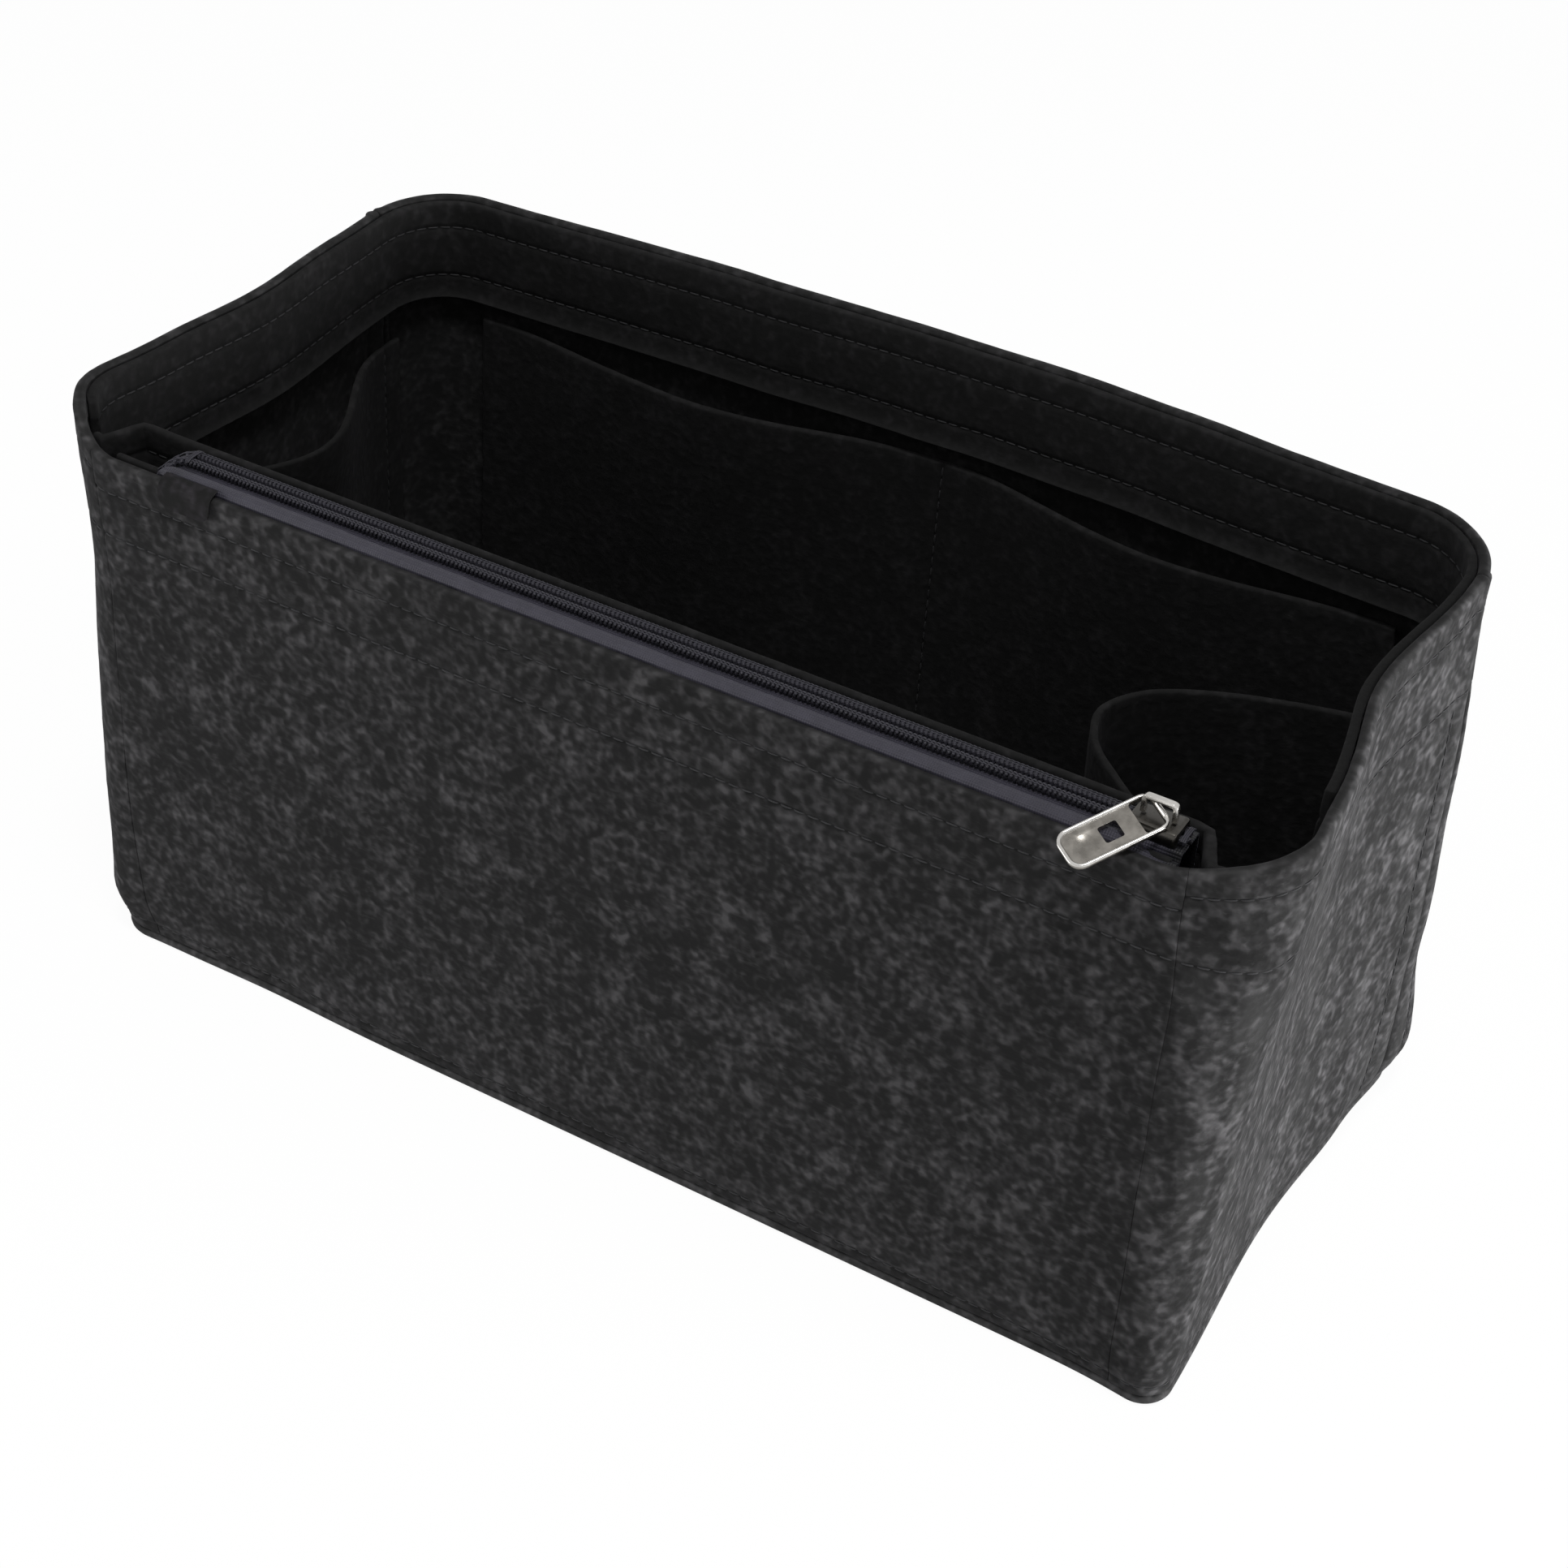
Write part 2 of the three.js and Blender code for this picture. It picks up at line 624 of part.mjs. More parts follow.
function sliderBody() {
  const past = sliderLength;
  const wedgeEnd = sliderLength / 2 - wedgeFromMouth;
  const wedge = toSolid(block(wedgeEnd - wedgeLength, wedgeEnd, -wedgeThickness / 2, wedgeThickness / 2,
    slotLow - sliderFootPlate / 2, channelHigh + sliderPlate / 2));
  const casting = new THREE.ExtrudeGeometry(sliderOutline(), {
    depth: sliderHigh - sliderLow - 2 * sliderBevel,
    bevelThickness: sliderBevel,
    bevelSize: sliderBevel,
    bevelOffset: -sliderBevel,
    bevelSegments: 2,
    curveSegments: arcSteps,
  }).translate(0, 0, sliderLow + sliderBevel);
  return toGeometry(toSolid(casting)
    .subtract(toSolid(block(-past, past, -past, past, slotLow, slotHigh)))
    .subtract(toSolid(block(-past, past, -channelHalf, channelHalf, slotLow, channelHigh)))
    .add(wedge));
}

// Bridge over the top plate, along the slider, that holds the pull tab
const bridgeLow = sliderHigh + sewnGap;
function sliderBridge() {
  const half = bridgeLength / 2;
  const eyeHalf = half - bridgeLeg;
  const top = bridgeEye + bridgeTop;
  const shape = new THREE.Shape();
  shape.moveTo(-half, 0);
  shape.lineTo(-eyeHalf, 0);
  shape.lineTo(-eyeHalf, bridgeEye - bridgeTop / 2);
  shape.quadraticCurveTo(-eyeHalf, bridgeEye, -eyeHalf + bridgeTop / 2, bridgeEye);
  shape.lineTo(eyeHalf - bridgeTop / 2, bridgeEye);
  shape.quadraticCurveTo(eyeHalf, bridgeEye, eyeHalf, bridgeEye - bridgeTop / 2);
  shape.lineTo(eyeHalf, 0);
  shape.lineTo(half, 0);
  shape.lineTo(half, top - bridgeLeg - bridgeTop / 2);
  shape.quadraticCurveTo(half, top, half - bridgeLeg - bridgeTop / 2, top);
  shape.lineTo(bridgeLeg + bridgeTop / 2 - half, top);
  shape.quadraticCurveTo(-half, top, -half, top - bridgeLeg - bridgeTop / 2);
  return plate(shape, -bridgeWidth / 2, bridgeWidth / 2).rotateX(quarterTurn);
}

const slider = new THREE.Group();
slider.position.set(sliderX, chainY, 0);
insert.add(slider);
const sliderBodyMesh = add('slider_body', sliderBody(), nickelMaterial);
const bridgeMesh = add('slider_bridge', sliderBridge(), nickelMaterial);
bridgeMesh.position.z = bridgeLow;
slider.add(sliderBodyMesh, bridgeMesh);

// Pull tab: a plate with a hanging slot, a square window, a round dimple and a
// raised border. Its bar passes under the bridge, and it lies over the front rim.
function pullTab() {
  const ring = -tabBar / 2;
  const tip = tabLength - tabBar / 2;
  const half = tabWidth / 2;
  const border = tabBorderWidth;
  const face = tabThickness / 2;
  const outline = roundedRect(ring, tip, -half, half, tabCornerRadius);
  const insideStart = ring + tabBar + tabSlotLength + border;
  const inside = roundedRect(insideStart, tip - border, border - half, half - border,
    tabCornerRadius - border);
  const slot = roundedRect(-ring, -ring + tabSlotLength, -tabSlotWidth / 2, tabSlotWidth / 2, tabSlotRadius);
  const windowX = tip - tabWindowFromTip;
  const opening = roundedRect(windowX - tabWindow / 2, windowX + tabWindow / 2, -tabWindow / 2, tabWindow / 2,
    tabWindowRadius);
  const dimple = new THREE.Shape().absarc(tip - tabDimpleFromTip, 0, tabDimpleRadius, 0, 4 * quarterTurn);
  const raised = toSolid(plate(outline, -face, face + tabBorderHeight))
    .subtract(toSolid(plate(inside, face, face + 2 * tabBorderHeight)));
  return toGeometry(raised
    .subtract(toSolid(plate(slot, -tabThickness, tabThickness)))
    .subtract(toSolid(plate(opening, -tabThickness, tabThickness)))
    .subtract(toSolid(plate(dimple, face - tabDimpleDepth, tabThickness))));
}

// The tab's face leans forward over the rim, and the tab is swung in that plane
const faceUp = new THREE.Vector3(0, -Math.sin(tabLean), Math.cos(tabLean));
const downSlope = new THREE.Vector3(0, -Math.cos(tabLean), -Math.sin(tabLean));
const along = new THREE.Vector3(-Math.cos(tabSwing), 0, 0).addScaledVector(downSlope, Math.sin(tabSwing));
const acrossTab = new THREE.Vector3().crossVectors(faceUp, along);
const tabMesh = add('pull_tab', pullTab(), nickelMaterial);
tabMesh.quaternion.setFromRotationMatrix(new THREE.Matrix4().makeBasis(along, acrossTab, faceUp));
tabMesh.position.z = bridgeLow + bridgeEye / 2;
slider.add(tabMesh);

export default insert;
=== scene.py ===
# Purse organizer insert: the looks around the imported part.
# Sizes are in millimetres in the part's own frame, and meshes are made in metres.
import math
import bmesh
import bpy
import numpy as np
from mathutils import Matrix, Vector
from mathutils.geometry import tessellate_polygon


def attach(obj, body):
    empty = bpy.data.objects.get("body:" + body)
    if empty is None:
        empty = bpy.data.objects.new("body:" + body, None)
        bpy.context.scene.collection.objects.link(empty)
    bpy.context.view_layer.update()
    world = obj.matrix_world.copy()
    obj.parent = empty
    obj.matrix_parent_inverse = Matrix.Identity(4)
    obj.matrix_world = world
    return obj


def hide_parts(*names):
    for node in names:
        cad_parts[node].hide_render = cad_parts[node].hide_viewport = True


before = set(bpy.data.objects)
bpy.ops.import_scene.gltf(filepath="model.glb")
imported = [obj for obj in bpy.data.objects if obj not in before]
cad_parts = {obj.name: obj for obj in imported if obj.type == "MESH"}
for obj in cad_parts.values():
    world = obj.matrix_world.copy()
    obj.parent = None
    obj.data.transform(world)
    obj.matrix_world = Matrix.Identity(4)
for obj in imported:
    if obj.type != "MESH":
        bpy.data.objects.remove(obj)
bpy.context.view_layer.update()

MM = 0.001
QUARTER = math.pi / 2

# Sizes of the felt box, as in the part
RIM_LENGTH, RIM_DEPTH, RIM_HEIGHT = 300, 142, 155
BASE_LENGTH, BASE_DEPTH = 290.6, 136
RIM_RADIUS, BASE_RADIUS = 24, 8
HALF_LENGTH, HALF_DEPTH = RIM_LENGTH / 2, RIM_DEPTH / 2
END_DIP, BASE_END_DIP, BACK_BOW = 6.5, 3, 7.5
OUTER_FELT, LINING_FELT, POCKET_FELT, WALL_FELT = 2.6, 2, 1.8, 2.2
SEWN_GAP = 0.3
INNER_LAYER = OUTER_FELT + SEWN_GAP
FRONT_RIM = 147.6
WALL_LOW = OUTER_FELT + SEWN_GAP
FRONT_SEAM_X, END_SEAM_Y = 133, 50
BAND_Z, STRETCH_FROM = 127, 132
BACK_POCKET_TOP, END_POCKET_TOP = 123, 118
LOOP_LOW = 14

# Stations round the wall: 0 at the front's middle and, by the right end, 5 at the back's
STATIONS = 10
STEP_FROM, STEP_TO = 1.04, 1.75
FACING_FROM, FACING_RIGHT = 1.6, 2.1

# Zipper places, as in the part
CHAIN_Y = -60.7606
CHAIN_LEFT, CHAIN_RIGHT = -114, 130
TAPE_MIDDLE = 147.5
TAPE_THICKNESS = 0.6
TAPE_LEG_LOW = 138
COIL_LOW, COIL_HIGH = 148.1, 149.9
SLIDER_HALF = 3.6

# Seams: how far stitches and the standing ridge lie from an upright seam
SEAM_GAP = 0.02
SEAM_STITCH, SEAM_RIDGE = 5.2, 2.6
FRONT_UPPER_ROW, END_UPPER_ROW, LOW_ROW = 142.3, 147.5, 6.2
GROOVE_HALF = 0.75
EVERYWHERE = (-9, 999)


# Number helpers
def lerp(a, b, t):
    return a + (b - a) * t


def smooth(x, a, b):
    t = np.clip((x - a) / (b - a), 0, 1)
    return t * t * (3 - 2 * t)


def lattice(ix, iy, iz, seed):
    h = (ix * 374761393 + iy * 668265263 + iz * 1274126177 + seed * 144665) & 0xFFFFFFFF
    h = ((h ^ (h >> 13)) * 1103515245) & 0xFFFFFFFF
    return ((h ^ (h >> 16)) & 0xFFFFFF) / 0xFFFFFF


def noise(points, size, seed):
    """Smooth value noise from -1 to 1 at points, with lumps of about that size."""
    q = points / size
    cell = np.floor(q).astype(np.int64)
    f = q - cell
    f = f * f * (3 - 2 * f)
    total = np.zeros(points.shape[:-1])
    for dx in (0, 1):
        for dy in (0, 1):
            for dz in (0, 1):
                weight = (np.abs(1 - dx - f[..., 0]) * np.abs(1 - dy - f[..., 1])
                          * np.abs(1 - dz - f[..., 2]))
                total += weight * lattice(cell[..., 0] + dx, cell[..., 1] + dy, cell[..., 2] + dz, seed)
    return total * 2 - 1


def noise_vector(points, size, seed):
    return np.stack([noise(points, size, seed + k) for k in range(3)], -1)


# The box wall, as in the part
def share_up(z):
    return z / RIM_HEIGHT


def length_scale(z):
    return lerp(BASE_LENGTH / RIM_LENGTH, 1, share_up(z))


def depth_scale(z):
    return lerp(BASE_DEPTH / RIM_DEPTH, 1, share_up(z))


def corner_radius(z):
    return lerp(BASE_RADIUS, RIM_RADIUS, share_up(z))


def settle(x, y, z):
    """Tapers a place to the base, draws the end walls in and bows the back wall out."""
    straight = HALF_DEPTH - corner_radius(z)
    across = np.minimum(1, np.abs(y) / straight)
    near_end = smooth(np.abs(x) / HALF_LENGTH, 0.6, 0.9)
    dip = lerp(BASE_END_DIP, END_DIP, share_up(z)) * np.cos(across * QUARTER) ** 2 * near_end
    along = np.minimum(1, np.abs(x) / HALF_LENGTH)
    bow = BACK_BOW * np.cos(along * QUARTER) * np.maximum(0, y) / HALF_DEPTH * share_up(z)
    x2 = (x - np.sign(x) * dip) * length_scale(z)
    return np.stack(np.broadcast_arrays(x2, y * depth_scale(z) + bow, z + 0.0 * x2), -1)


# How the slack felt departs from the part's even walls: centre, reach and push
PUSHES = [
    ((-150, -62, 30), (40, 50, 50), (-4.0, 0, 0)),
    ((-150, -62, 118), (30, 40, 22), (1.8, 0, 0)),
    ((-150, -38, 155), (40, 14, 40), (2.0, 0, 0)),
    ((-150, 44, 155), (40, 24, 50), (5.0, 0, 0)),
    ((-150, -70, 0), (28, 40, 25), (0, 1.5, 0)),
    ((150, 62, 25), (40, 55, 62), (6.4, 0, 0)),
    ((152, -68, 155), (16, 30, 70), (4.2, -2.4, 0)),
    ((150, -70, 0), (25, 40, 25), (0, -1.0, 0)),
    ((0, -70, 0), (170, 40, 40), (0, 0.5, 0)),
    ((0, -70, 60), (110, 40, 45), (0, 0.8, 0)),
    ((40, 80, 155), (130, 40, 60), (0, 1.5, 0)),
    ((-20, 80, 60), (110, 40, 50), (0, 2.0, 0)),
    ((60, -70, 95), (60, 40, 30), (0, -0.5, 0)),
    ((150, 44, 8), (40, 11, 25), (-2.5, 0, 0)),
    ((150, 69, 12), (40, 9, 20), (1.0, 0, 0)),
    ((146, -68, 0), (14, 14, 18), (0.6, -3.4, 0)),
    ((-146, -66, 4), (10, 14, 18), (-3.0, -1.4, 0)),
    ((-100, -70, 0), (22, 40, 25), (0, 1.8, 0)),
    ((150, 60, 105), (40, 30, 22), (1.3, 0, 0)),
    ((152, 52, 150), (20, 18, 20), (-1.2, 0, 0)),
    ((150, 66, 42), (40, 30, 16), (-2.0, 0, 0)),
    ((150, -62, 155), (40, 13, 45), (1.9, 0, 0)),
    ((150, -30, 155), (40, 13, 45), (2.0, 0, 0)),
    ((150, -14, 155), (40, 13, 45), (2.5, 0, 0)),
    ((150, 6, 155), (40, 16, 45), (1.3, 0, 0)),
]


def sway(p):
    """Extra places of the slack felt. The zipped front rim stays straight."""
    x, y, z = p[..., 0], p[..., 1], p[..., 2]
    out = np.zeros(p.shape)
    for centre, reach, push in PUSHES:
        fall = np.exp(-sum(((v - c) / r) ** 2 for v, c, r in zip((x, y, z), centre, reach)))
        out += fall[..., None] * np.array(push)
    under = 1 - smooth(z, 0, 15)
    out *= (1 - 0.55 * under)[..., None]
    out[..., 0] -= np.sign(x) * 0.6 * under * smooth(np.abs(x), 120, 146)
    out[..., 1] -= np.sign(y) * 1.6 * under * smooth(np.abs(y), 50, 68)
    lean = 1 - share_up(z)
    out[..., 0] += 1.2 * lean
    out[..., 1] += 1.5 * lean
    lumps = noise_vector(p, 46, 11) * 0.55 + noise_vector(p, 19, 31) * 0.22
    out += lumps * smooth(z, 2, 20)[..., None]
    held = smooth(z, 112, 138) * smooth(-y, 40, 54) * (1 - smooth(np.abs(x - 4), 122, 140))
    out *= (1 - held)[..., None]
    out[..., 2] *= smooth(z, 0, 20)
    return out


def shape(x, y, z):
    p = settle(x, y, z)
    return p + sway(p)


def wall_point(station, z, inset):
    """A place on the box wall, a distance inside its outer face."""
    radius = corner_radius(z)
    flat_x, flat_y, turn = HALF_LENGTH - radius, HALF_DEPTH - radius, radius - inset
    wrapped = np.mod(station + STATIONS, STATIONS)
    mirrored = wrapped > STATIONS / 2
    s = np.where(mirrored, STATIONS - wrapped, wrapped)
    a = np.clip(s - 1, 0, 1) * QUARTER
    b = np.clip(s - 3, 0, 1) * QUARTER
    cases = [s > 4, s > 3, s > 2, s > 1]
    x = np.select(cases, [(5 - s) * flat_x, flat_x + turn * np.cos(b), HALF_LENGTH - inset + 0 * s,
                          flat_x + turn * np.sin(a)], s * flat_x)
    y = np.select(cases, [HALF_DEPTH - inset + 0 * s, flat_y + turn * np.sin(b),
                          lerp(-flat_y, flat_y, s - 2), -flat_y - turn * np.cos(a)],
                  inset - HALF_DEPTH + 0 * s)
    return np.where(mirrored, -x, x), y


def front_station(real_x, z):
    radius = corner_radius(z)
    flat_x = HALF_LENGTH - radius
    x = real_x / length_scale(z)
    return np.where(x <= flat_x, x / flat_x, 1 + np.arcsin(np.clip((x - flat_x) / radius, 0, 1)) / QUARTER)


def end_station(real_y, z):
    radius = corner_radius(z)
    flat_y = HALF_DEPTH - radius
    y = real_y / depth_scale(z)
    turned = 3 + np.arcsin(np.clip((y - flat_y) / radius, 0, 1)) / QUARTER
    return np.where(y <= flat_y, 2 + (y + flat_y) / (2 * flat_y), turned)


def rim_top(station):
    s = np.mod(station + STATIONS, STATIONS)
    s = np.minimum(s, STATIONS - s)
    return lerp(FRONT_RIM, RIM_HEIGHT, smooth(s, STEP_FROM, STEP_TO))


def row_height(w, top):
    """Rows above the band are squeezed under the local rim, and w is a height elsewhere."""
    squeezed = STRETCH_FROM + (w - STRETCH_FROM) * (top - STRETCH_FROM) / (RIM_HEIGHT - STRETCH_FROM)
    return np.where(w < STRETCH_FROM, w, squeezed)


# Mesh helpers
def link_new(name, data):
    obj = bpy.data.objects.new(name, data)
    bpy.context.scene.collection.objects.link(obj)
    return obj


def new_object(name, verts, faces, material, node=None, sharp=math.radians(50)):
    """A piece of the fixed body, in place of a CAD node where it has one."""
    mesh = bpy.data.meshes.new(name)
    mesh.from_pydata((np.asarray(verts, float) * MM).tolist(), [], faces)
    mesh.materials.append(material)
    mesh.shade_smooth()
    mesh.set_sharp_from_angle(angle=sharp)
    mesh.update()
    obj = link_new(name, mesh)
    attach(obj, "root")
    if node:
        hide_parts(node)
    return obj


def ring_faces(rings, size, start=0):
    """Faces between rings of as many points each, counted from start."""
    faces = []
    for ring in range(rings - 1):
        for k in range(size):
            a = start + ring * size + k
            b = start + ring * size + (k + 1) % size
            faces.append([a, b, b + size, a + size])
    return faces


def write_shades(obj, pale, dull):
    """Stores how pale and how dark the surface is at each vertex: painted highlight on edges, tops and
    ridges, painted shade in grooves, seams and hidden parts, and random tone.
    """
    for name, values in (("pale", pale), ("dull", dull)):
        layer = obj.data.attributes.new(name, "FLOAT", "POINT")
        layer.data.foreach_set("value", np.asarray(values, dtype=np.float32))


def spaced(low, high, step, fine_at=(), fine=(0.25, 0.55, 0.95, 1.5)):
    """Even places from low to high, with more near each place in fine_at."""
    count = max(1, round((high - low) / step))
    places = list(np.linspace(low, high, count + 1))
    for line in fine_at:
        places = [p for p in places if abs(p - line) > fine[-1] + 0.3 * step or p in (low, high)]
        places += [line] + [line + side * d for d in fine for side in (-1, 1)]
    places = sorted(p for p in places if low <= p <= high)
    kept = [places[0]]
    for p in places[1:]:
        if p - kept[-1] > 0.1:
            kept.append(p)
    kept[-1] = high
    return np.array(kept)


ARC = np.radians([90, 60, 30, 0])


def rounded_ends(places, first, last):
    """Places with rounded ends, and how far the faces draw in at each."""
    low, high = places[0], places[-1]
    middle = [p for p in places if low + first * 1.3 < p < high - last * 1.3]
    starts = [low + first * (1 - math.sin(a)) for a in ARC]
    ends = [high - last * (1 - math.sin(a)) for a in ARC[::-1]]
    head = [first * (1 - math.cos(a)) for a in ARC]
    tail = [last * (1 - math.cos(a)) for a in ARC[::-1]]
    return np.array(starts + middle + ends), np.array(head + [0] * len(middle) + tail)


class Felt:
    """A sheet of felt. place(run, row, depth) gives its points, with run along it, row up it and
    depth through it. Seams run up it and lines along it, each with the part that it covers."""

    COARSE_FUZZ, FINE_FUZZ = 0.07, 0.05

    # Paleness at edges, tops, ridges and the lower strip is painted highlight; darkening in grooves, seam
    # gaps, the foot, back faces and chosen runs and rows is painted shade.
    def __init__(self, place, length, rows, thickness, step=2.4, seams=(), lines=(), edge=0.7, end=0.6,
                 fine_runs=(), front_groove=0.45, back_groove=0.3, raw_strip=0, dull_back=0.0,
                 ridges=(), dark_runs=(), dark_rows=(), pale_edge=0.3, pale_top=0.3, dark_foot=0.0,
                 shade_along=None, mottled=0.0):
        self.place, self.thickness = place, thickness
        self.raw_strip, self.dull_back, self.ridges = raw_strip, dull_back, ridges
        self.dark_runs, self.dark_rows, self.dark_foot = dark_runs, dark_rows, dark_foot
        self.pale_edge, self.pale_top, self.shade_along = pale_edge, pale_top, shade_along
        self.mottled = mottled
        self.seams, self.lines = list(seams), list(lines)
        self.front_groove, self.back_groove = front_groove, back_groove
        runs = spaced(0, length, step, [seam[0] for seam in self.seams] + list(fine_runs))
        levels = spaced(rows[0], rows[1], step, [line[0] for line in self.lines])
        ends = end if isinstance(end, tuple) else (end, end)
        edges = edge if isinstance(edge, tuple) else (edge, edge)
        self.runs, self.run_draw = rounded_ends(runs, *ends)
        self.levels, self.level_draw = rounded_ends(levels, *edges)

    def groove(self, run, row):
        deep = np.zeros(np.broadcast(run, row).shape)
        for marks, across, along in ((self.seams, run, row), (self.lines, row, run)):
            for at, low, high in marks:
                window = smooth(along, low - 1.5, low + 0.5) * (1 - smooth(along, high - 0.5, high + 1.5))
                deep = np.maximum(deep, np.exp(-((across - at) / GROOVE_HALF) ** 2) * window)
        return deep

    def ridge(self, run, row):
        """The felt stands up in a soft ridge beside a butted upright seam."""
        high = np.zeros(np.broadcast(run, row).shape)
        for at, rise in self.ridges:
            high = high + rise * np.exp(-((run - at) / 2.2) ** 2) * smooth(row, 2, 14)
        return high

    def points(self, run, row, back):
        """Points on the front or back face, with grooves and drawn edges."""
        deep = self.groove(run, row)
        if back:
            return self.place(run, row, self.thickness - self.back_groove * deep)
        return self.place(run, row, self.front_groove * deep - self.ridge(run, row))

    def shades(self, run, row, draw, draw_row, deep, fuzz_at):
        """How pale and how dark the sheet is at each place: painted highlight on its edges, tops and ridges,
        painted shade in its grooves, seams and hidden parts, and random mottled tone.
        """
        half, foot = self.thickness / 2, self.levels[0]
        # A strip at the raw lower edge gets a painted highlight, as if it caught the light
        foot_highlight_share = 0 * row
        if self.raw_strip:
            foot_highlight_share = 1 - smooth(row, foot + 0.7 * self.raw_strip, foot + 1.2 * self.raw_strip)
        # Edges and top edges are painted paler: painted highlight
        pale = np.maximum(self.pale_edge * np.clip(draw / half, 0, 1), foot_highlight_share)
        near_top = row > (foot + self.levels[-1]) / 2
        pale = np.maximum(pale, self.pale_top * near_top * np.clip(1.6 * draw_row / half, 0, 1))
        streaks = noise(fuzz_at * np.array([1, 1, 0.45]), 4.5, 81)
        pale = pale + self.mottled * np.maximum(0, streaks)
        # Painted shade in grooves and at the foot, and random mottled tone
        shade_and_mottle = np.maximum(0.45 * deep, self.dark_foot * (1 - smooth(row, foot, foot + 1.3)))
        shade_and_mottle = np.maximum(shade_and_mottle, 1.2 * self.mottled * np.maximum(0, -streaks))
        # Painted shade along chosen runs, with their highlight taken away
        if self.shade_along:
            shade_and_mottle = np.maximum(shade_and_mottle, self.shade_along(run) + 0 * row)
            pale = pale * (1 - self.shade_along(run))
        # Painted shadow lines along chosen rows
        for at, low, high in self.dark_rows:
            window = smooth(run, low - 1, low + 1) * (1 - smooth(run, high - 12, high + 6))
            shade_and_mottle = np.maximum(shade_and_mottle, 0.8 * np.exp(-((row - at) / 0.8) ** 2) * window)
        # A painted highlight along each ridge beside a seam
        for at, _ in self.ridges:
            pale = np.maximum(pale, 0.35 * np.exp(-(np.abs(run - at) / 1.1) ** 2) + 0 * row)
        # Painted shade in the gaps of butted seams
        for at in self.dark_runs:
            shade_and_mottle = np.maximum(shade_and_mottle, 0.85 * np.exp(-((run - at) / 0.9) ** 2) + 0 * row)
        return pale, shade_and_mottle

    def build(self, name, material, slot, node):
        run, row = self.runs[:, None], self.levels[None, :]
        draw_run, draw_row = self.run_draw[:, None], self.level_draw[None, :]
        half = self.thickness / 2
        draw = half - np.maximum(0, half - draw_run) * np.maximum(0, half - draw_row) / half
        deep = self.groove(run, row)
        fuzz_at = self.place(run, row, 0 * draw)
        depth = draw + self.front_groove * deep * (1 - draw / half) - self.ridge(run, row)
        depth = depth + self.COARSE_FUZZ * noise(fuzz_at, 2.6, 71)
        front = self.place(run, row, depth + self.FINE_FUZZ * noise(fuzz_at, 1.3, 72))
        depth = self.thickness - draw - self.back_groove * deep * (1 - draw / half)
        back = self.place(run, row, depth + self.COARSE_FUZZ * noise(fuzz_at, 2.6, 73))
        columns, rows = draw.shape
        size = columns * rows
        verts = np.concatenate([front.reshape(-1, 3), back.reshape(-1, 3)])
        i, j = np.meshgrid(np.arange(columns - 1), np.arange(rows - 1), indexing="ij")
        a = (i * rows + j).ravel()
        b, c, d = a + rows, a + rows + 1, a + 1
        faces = np.concatenate([np.stack([a, b, c, d], 1), np.stack([d, c, b, a], 1) + size]).tolist()
        last = rows - 1
        for k in range(columns - 1):
            p, q = k * rows, (k + 1) * rows
            faces.append([p + size, q + size, q, p])
            faces.append([p + last, q + last, q + last + size, p + last + size])
        end = (columns - 1) * rows
        for k in range(rows - 1):
            faces.append([k, k + 1, k + 1 + size, k + size])
            faces.append([end + k + 1, end + k, end + k + size, end + k + 1 + size])
        pale, shade_and_mottle = self.shades(run, row, draw, draw_row, deep, fuzz_at)
        # The back face gets at least its painted shade
        write_shades(new_object(name, verts, faces, material, node),
                     np.concatenate([pale.ravel(), pale.ravel()]),
                     np.concatenate([shade_and_mottle.ravel(), np.maximum(shade_and_mottle, self.dull_back).ravel()]))


class Stitches:
    """Tubes gathered into one object. Along a sheet they are stitches: small arched capsules."""

    # Along one stitch: places, lifts and widths, as shares of its length, width and radius
    STEPS = np.array([0, 0.12, 0.5, 0.88, 1])
    LIFTS = np.array([-0.25, 0.1, 0.28, 0.1, -0.25])
    WIDTHS = np.array([0.5, 0.95, 1, 0.95, 0.5])

    def __init__(self, radius=0.21, sides=6):
        self.verts, self.faces, self.radius, self.sides = [], [], radius, sides

    def tube(self, centres, radii):
        centres = np.asarray(centres, float)
        ahead = np.gradient(centres, axis=0)
        ahead /= np.linalg.norm(ahead, axis=1)[:, None]
        up = np.array([0.13, 0.31, 0.94])
        side = np.cross(ahead, up)
        side /= np.linalg.norm(side, axis=1)[:, None]
        lift = np.cross(side, ahead)
        start = len(self.verts)
        for centre, s, l, r in zip(centres, side, lift, radii):
            for k in range(self.sides):
                a = 2 * math.pi * k / self.sides
                self.verts.append(centre + r * (math.cos(a) * s + math.sin(a) * l))
        self.faces += ring_faces(len(centres), self.sides, start)
        self.faces.append([start + k for k in range(self.sides)][::-1])
        self.faces.append([len(self.verts) - self.sides + k for k in range(self.sides)])

    def along(self, felt, line, back=False, pitch=3.1, part=0.82):
        """Stitches on a sheet along line(share) giving run and row, between its ends."""
        shares = np.linspace(0, 1, 200)
        run, row = line(shares)
        path = felt.points(run, row, back)
        cumulative = np.concatenate([[0], np.cumsum(np.linalg.norm(np.diff(path, axis=0), axis=1))])
        count = max(1, int(cumulative[-1] / pitch))
        starts = (np.arange(count) + 0.5 * (1 - part)) * cumulative[-1] / count
        length = part * cumulative[-1] / count
        at = np.interp((starts[:, None] + self.STEPS * length).ravel(), cumulative, shares)
        run, row = line(at)
        on = felt.points(run, row, back)
        through = felt.place(run, row, np.full(run.shape, felt.thickness / 2))
        out = on - through
        out /= np.linalg.norm(out, axis=1)[:, None]
        centres = on + out * np.tile(self.LIFTS, count)[:, None] * self.radius * 2
        for one in centres.reshape(count, len(self.STEPS), 3):
            self.tube(one, self.radius * self.WIDTHS)

    def build(self, name, material, slot="thread", node=None):
        new_object(name, self.verts, self.faces, material, node)


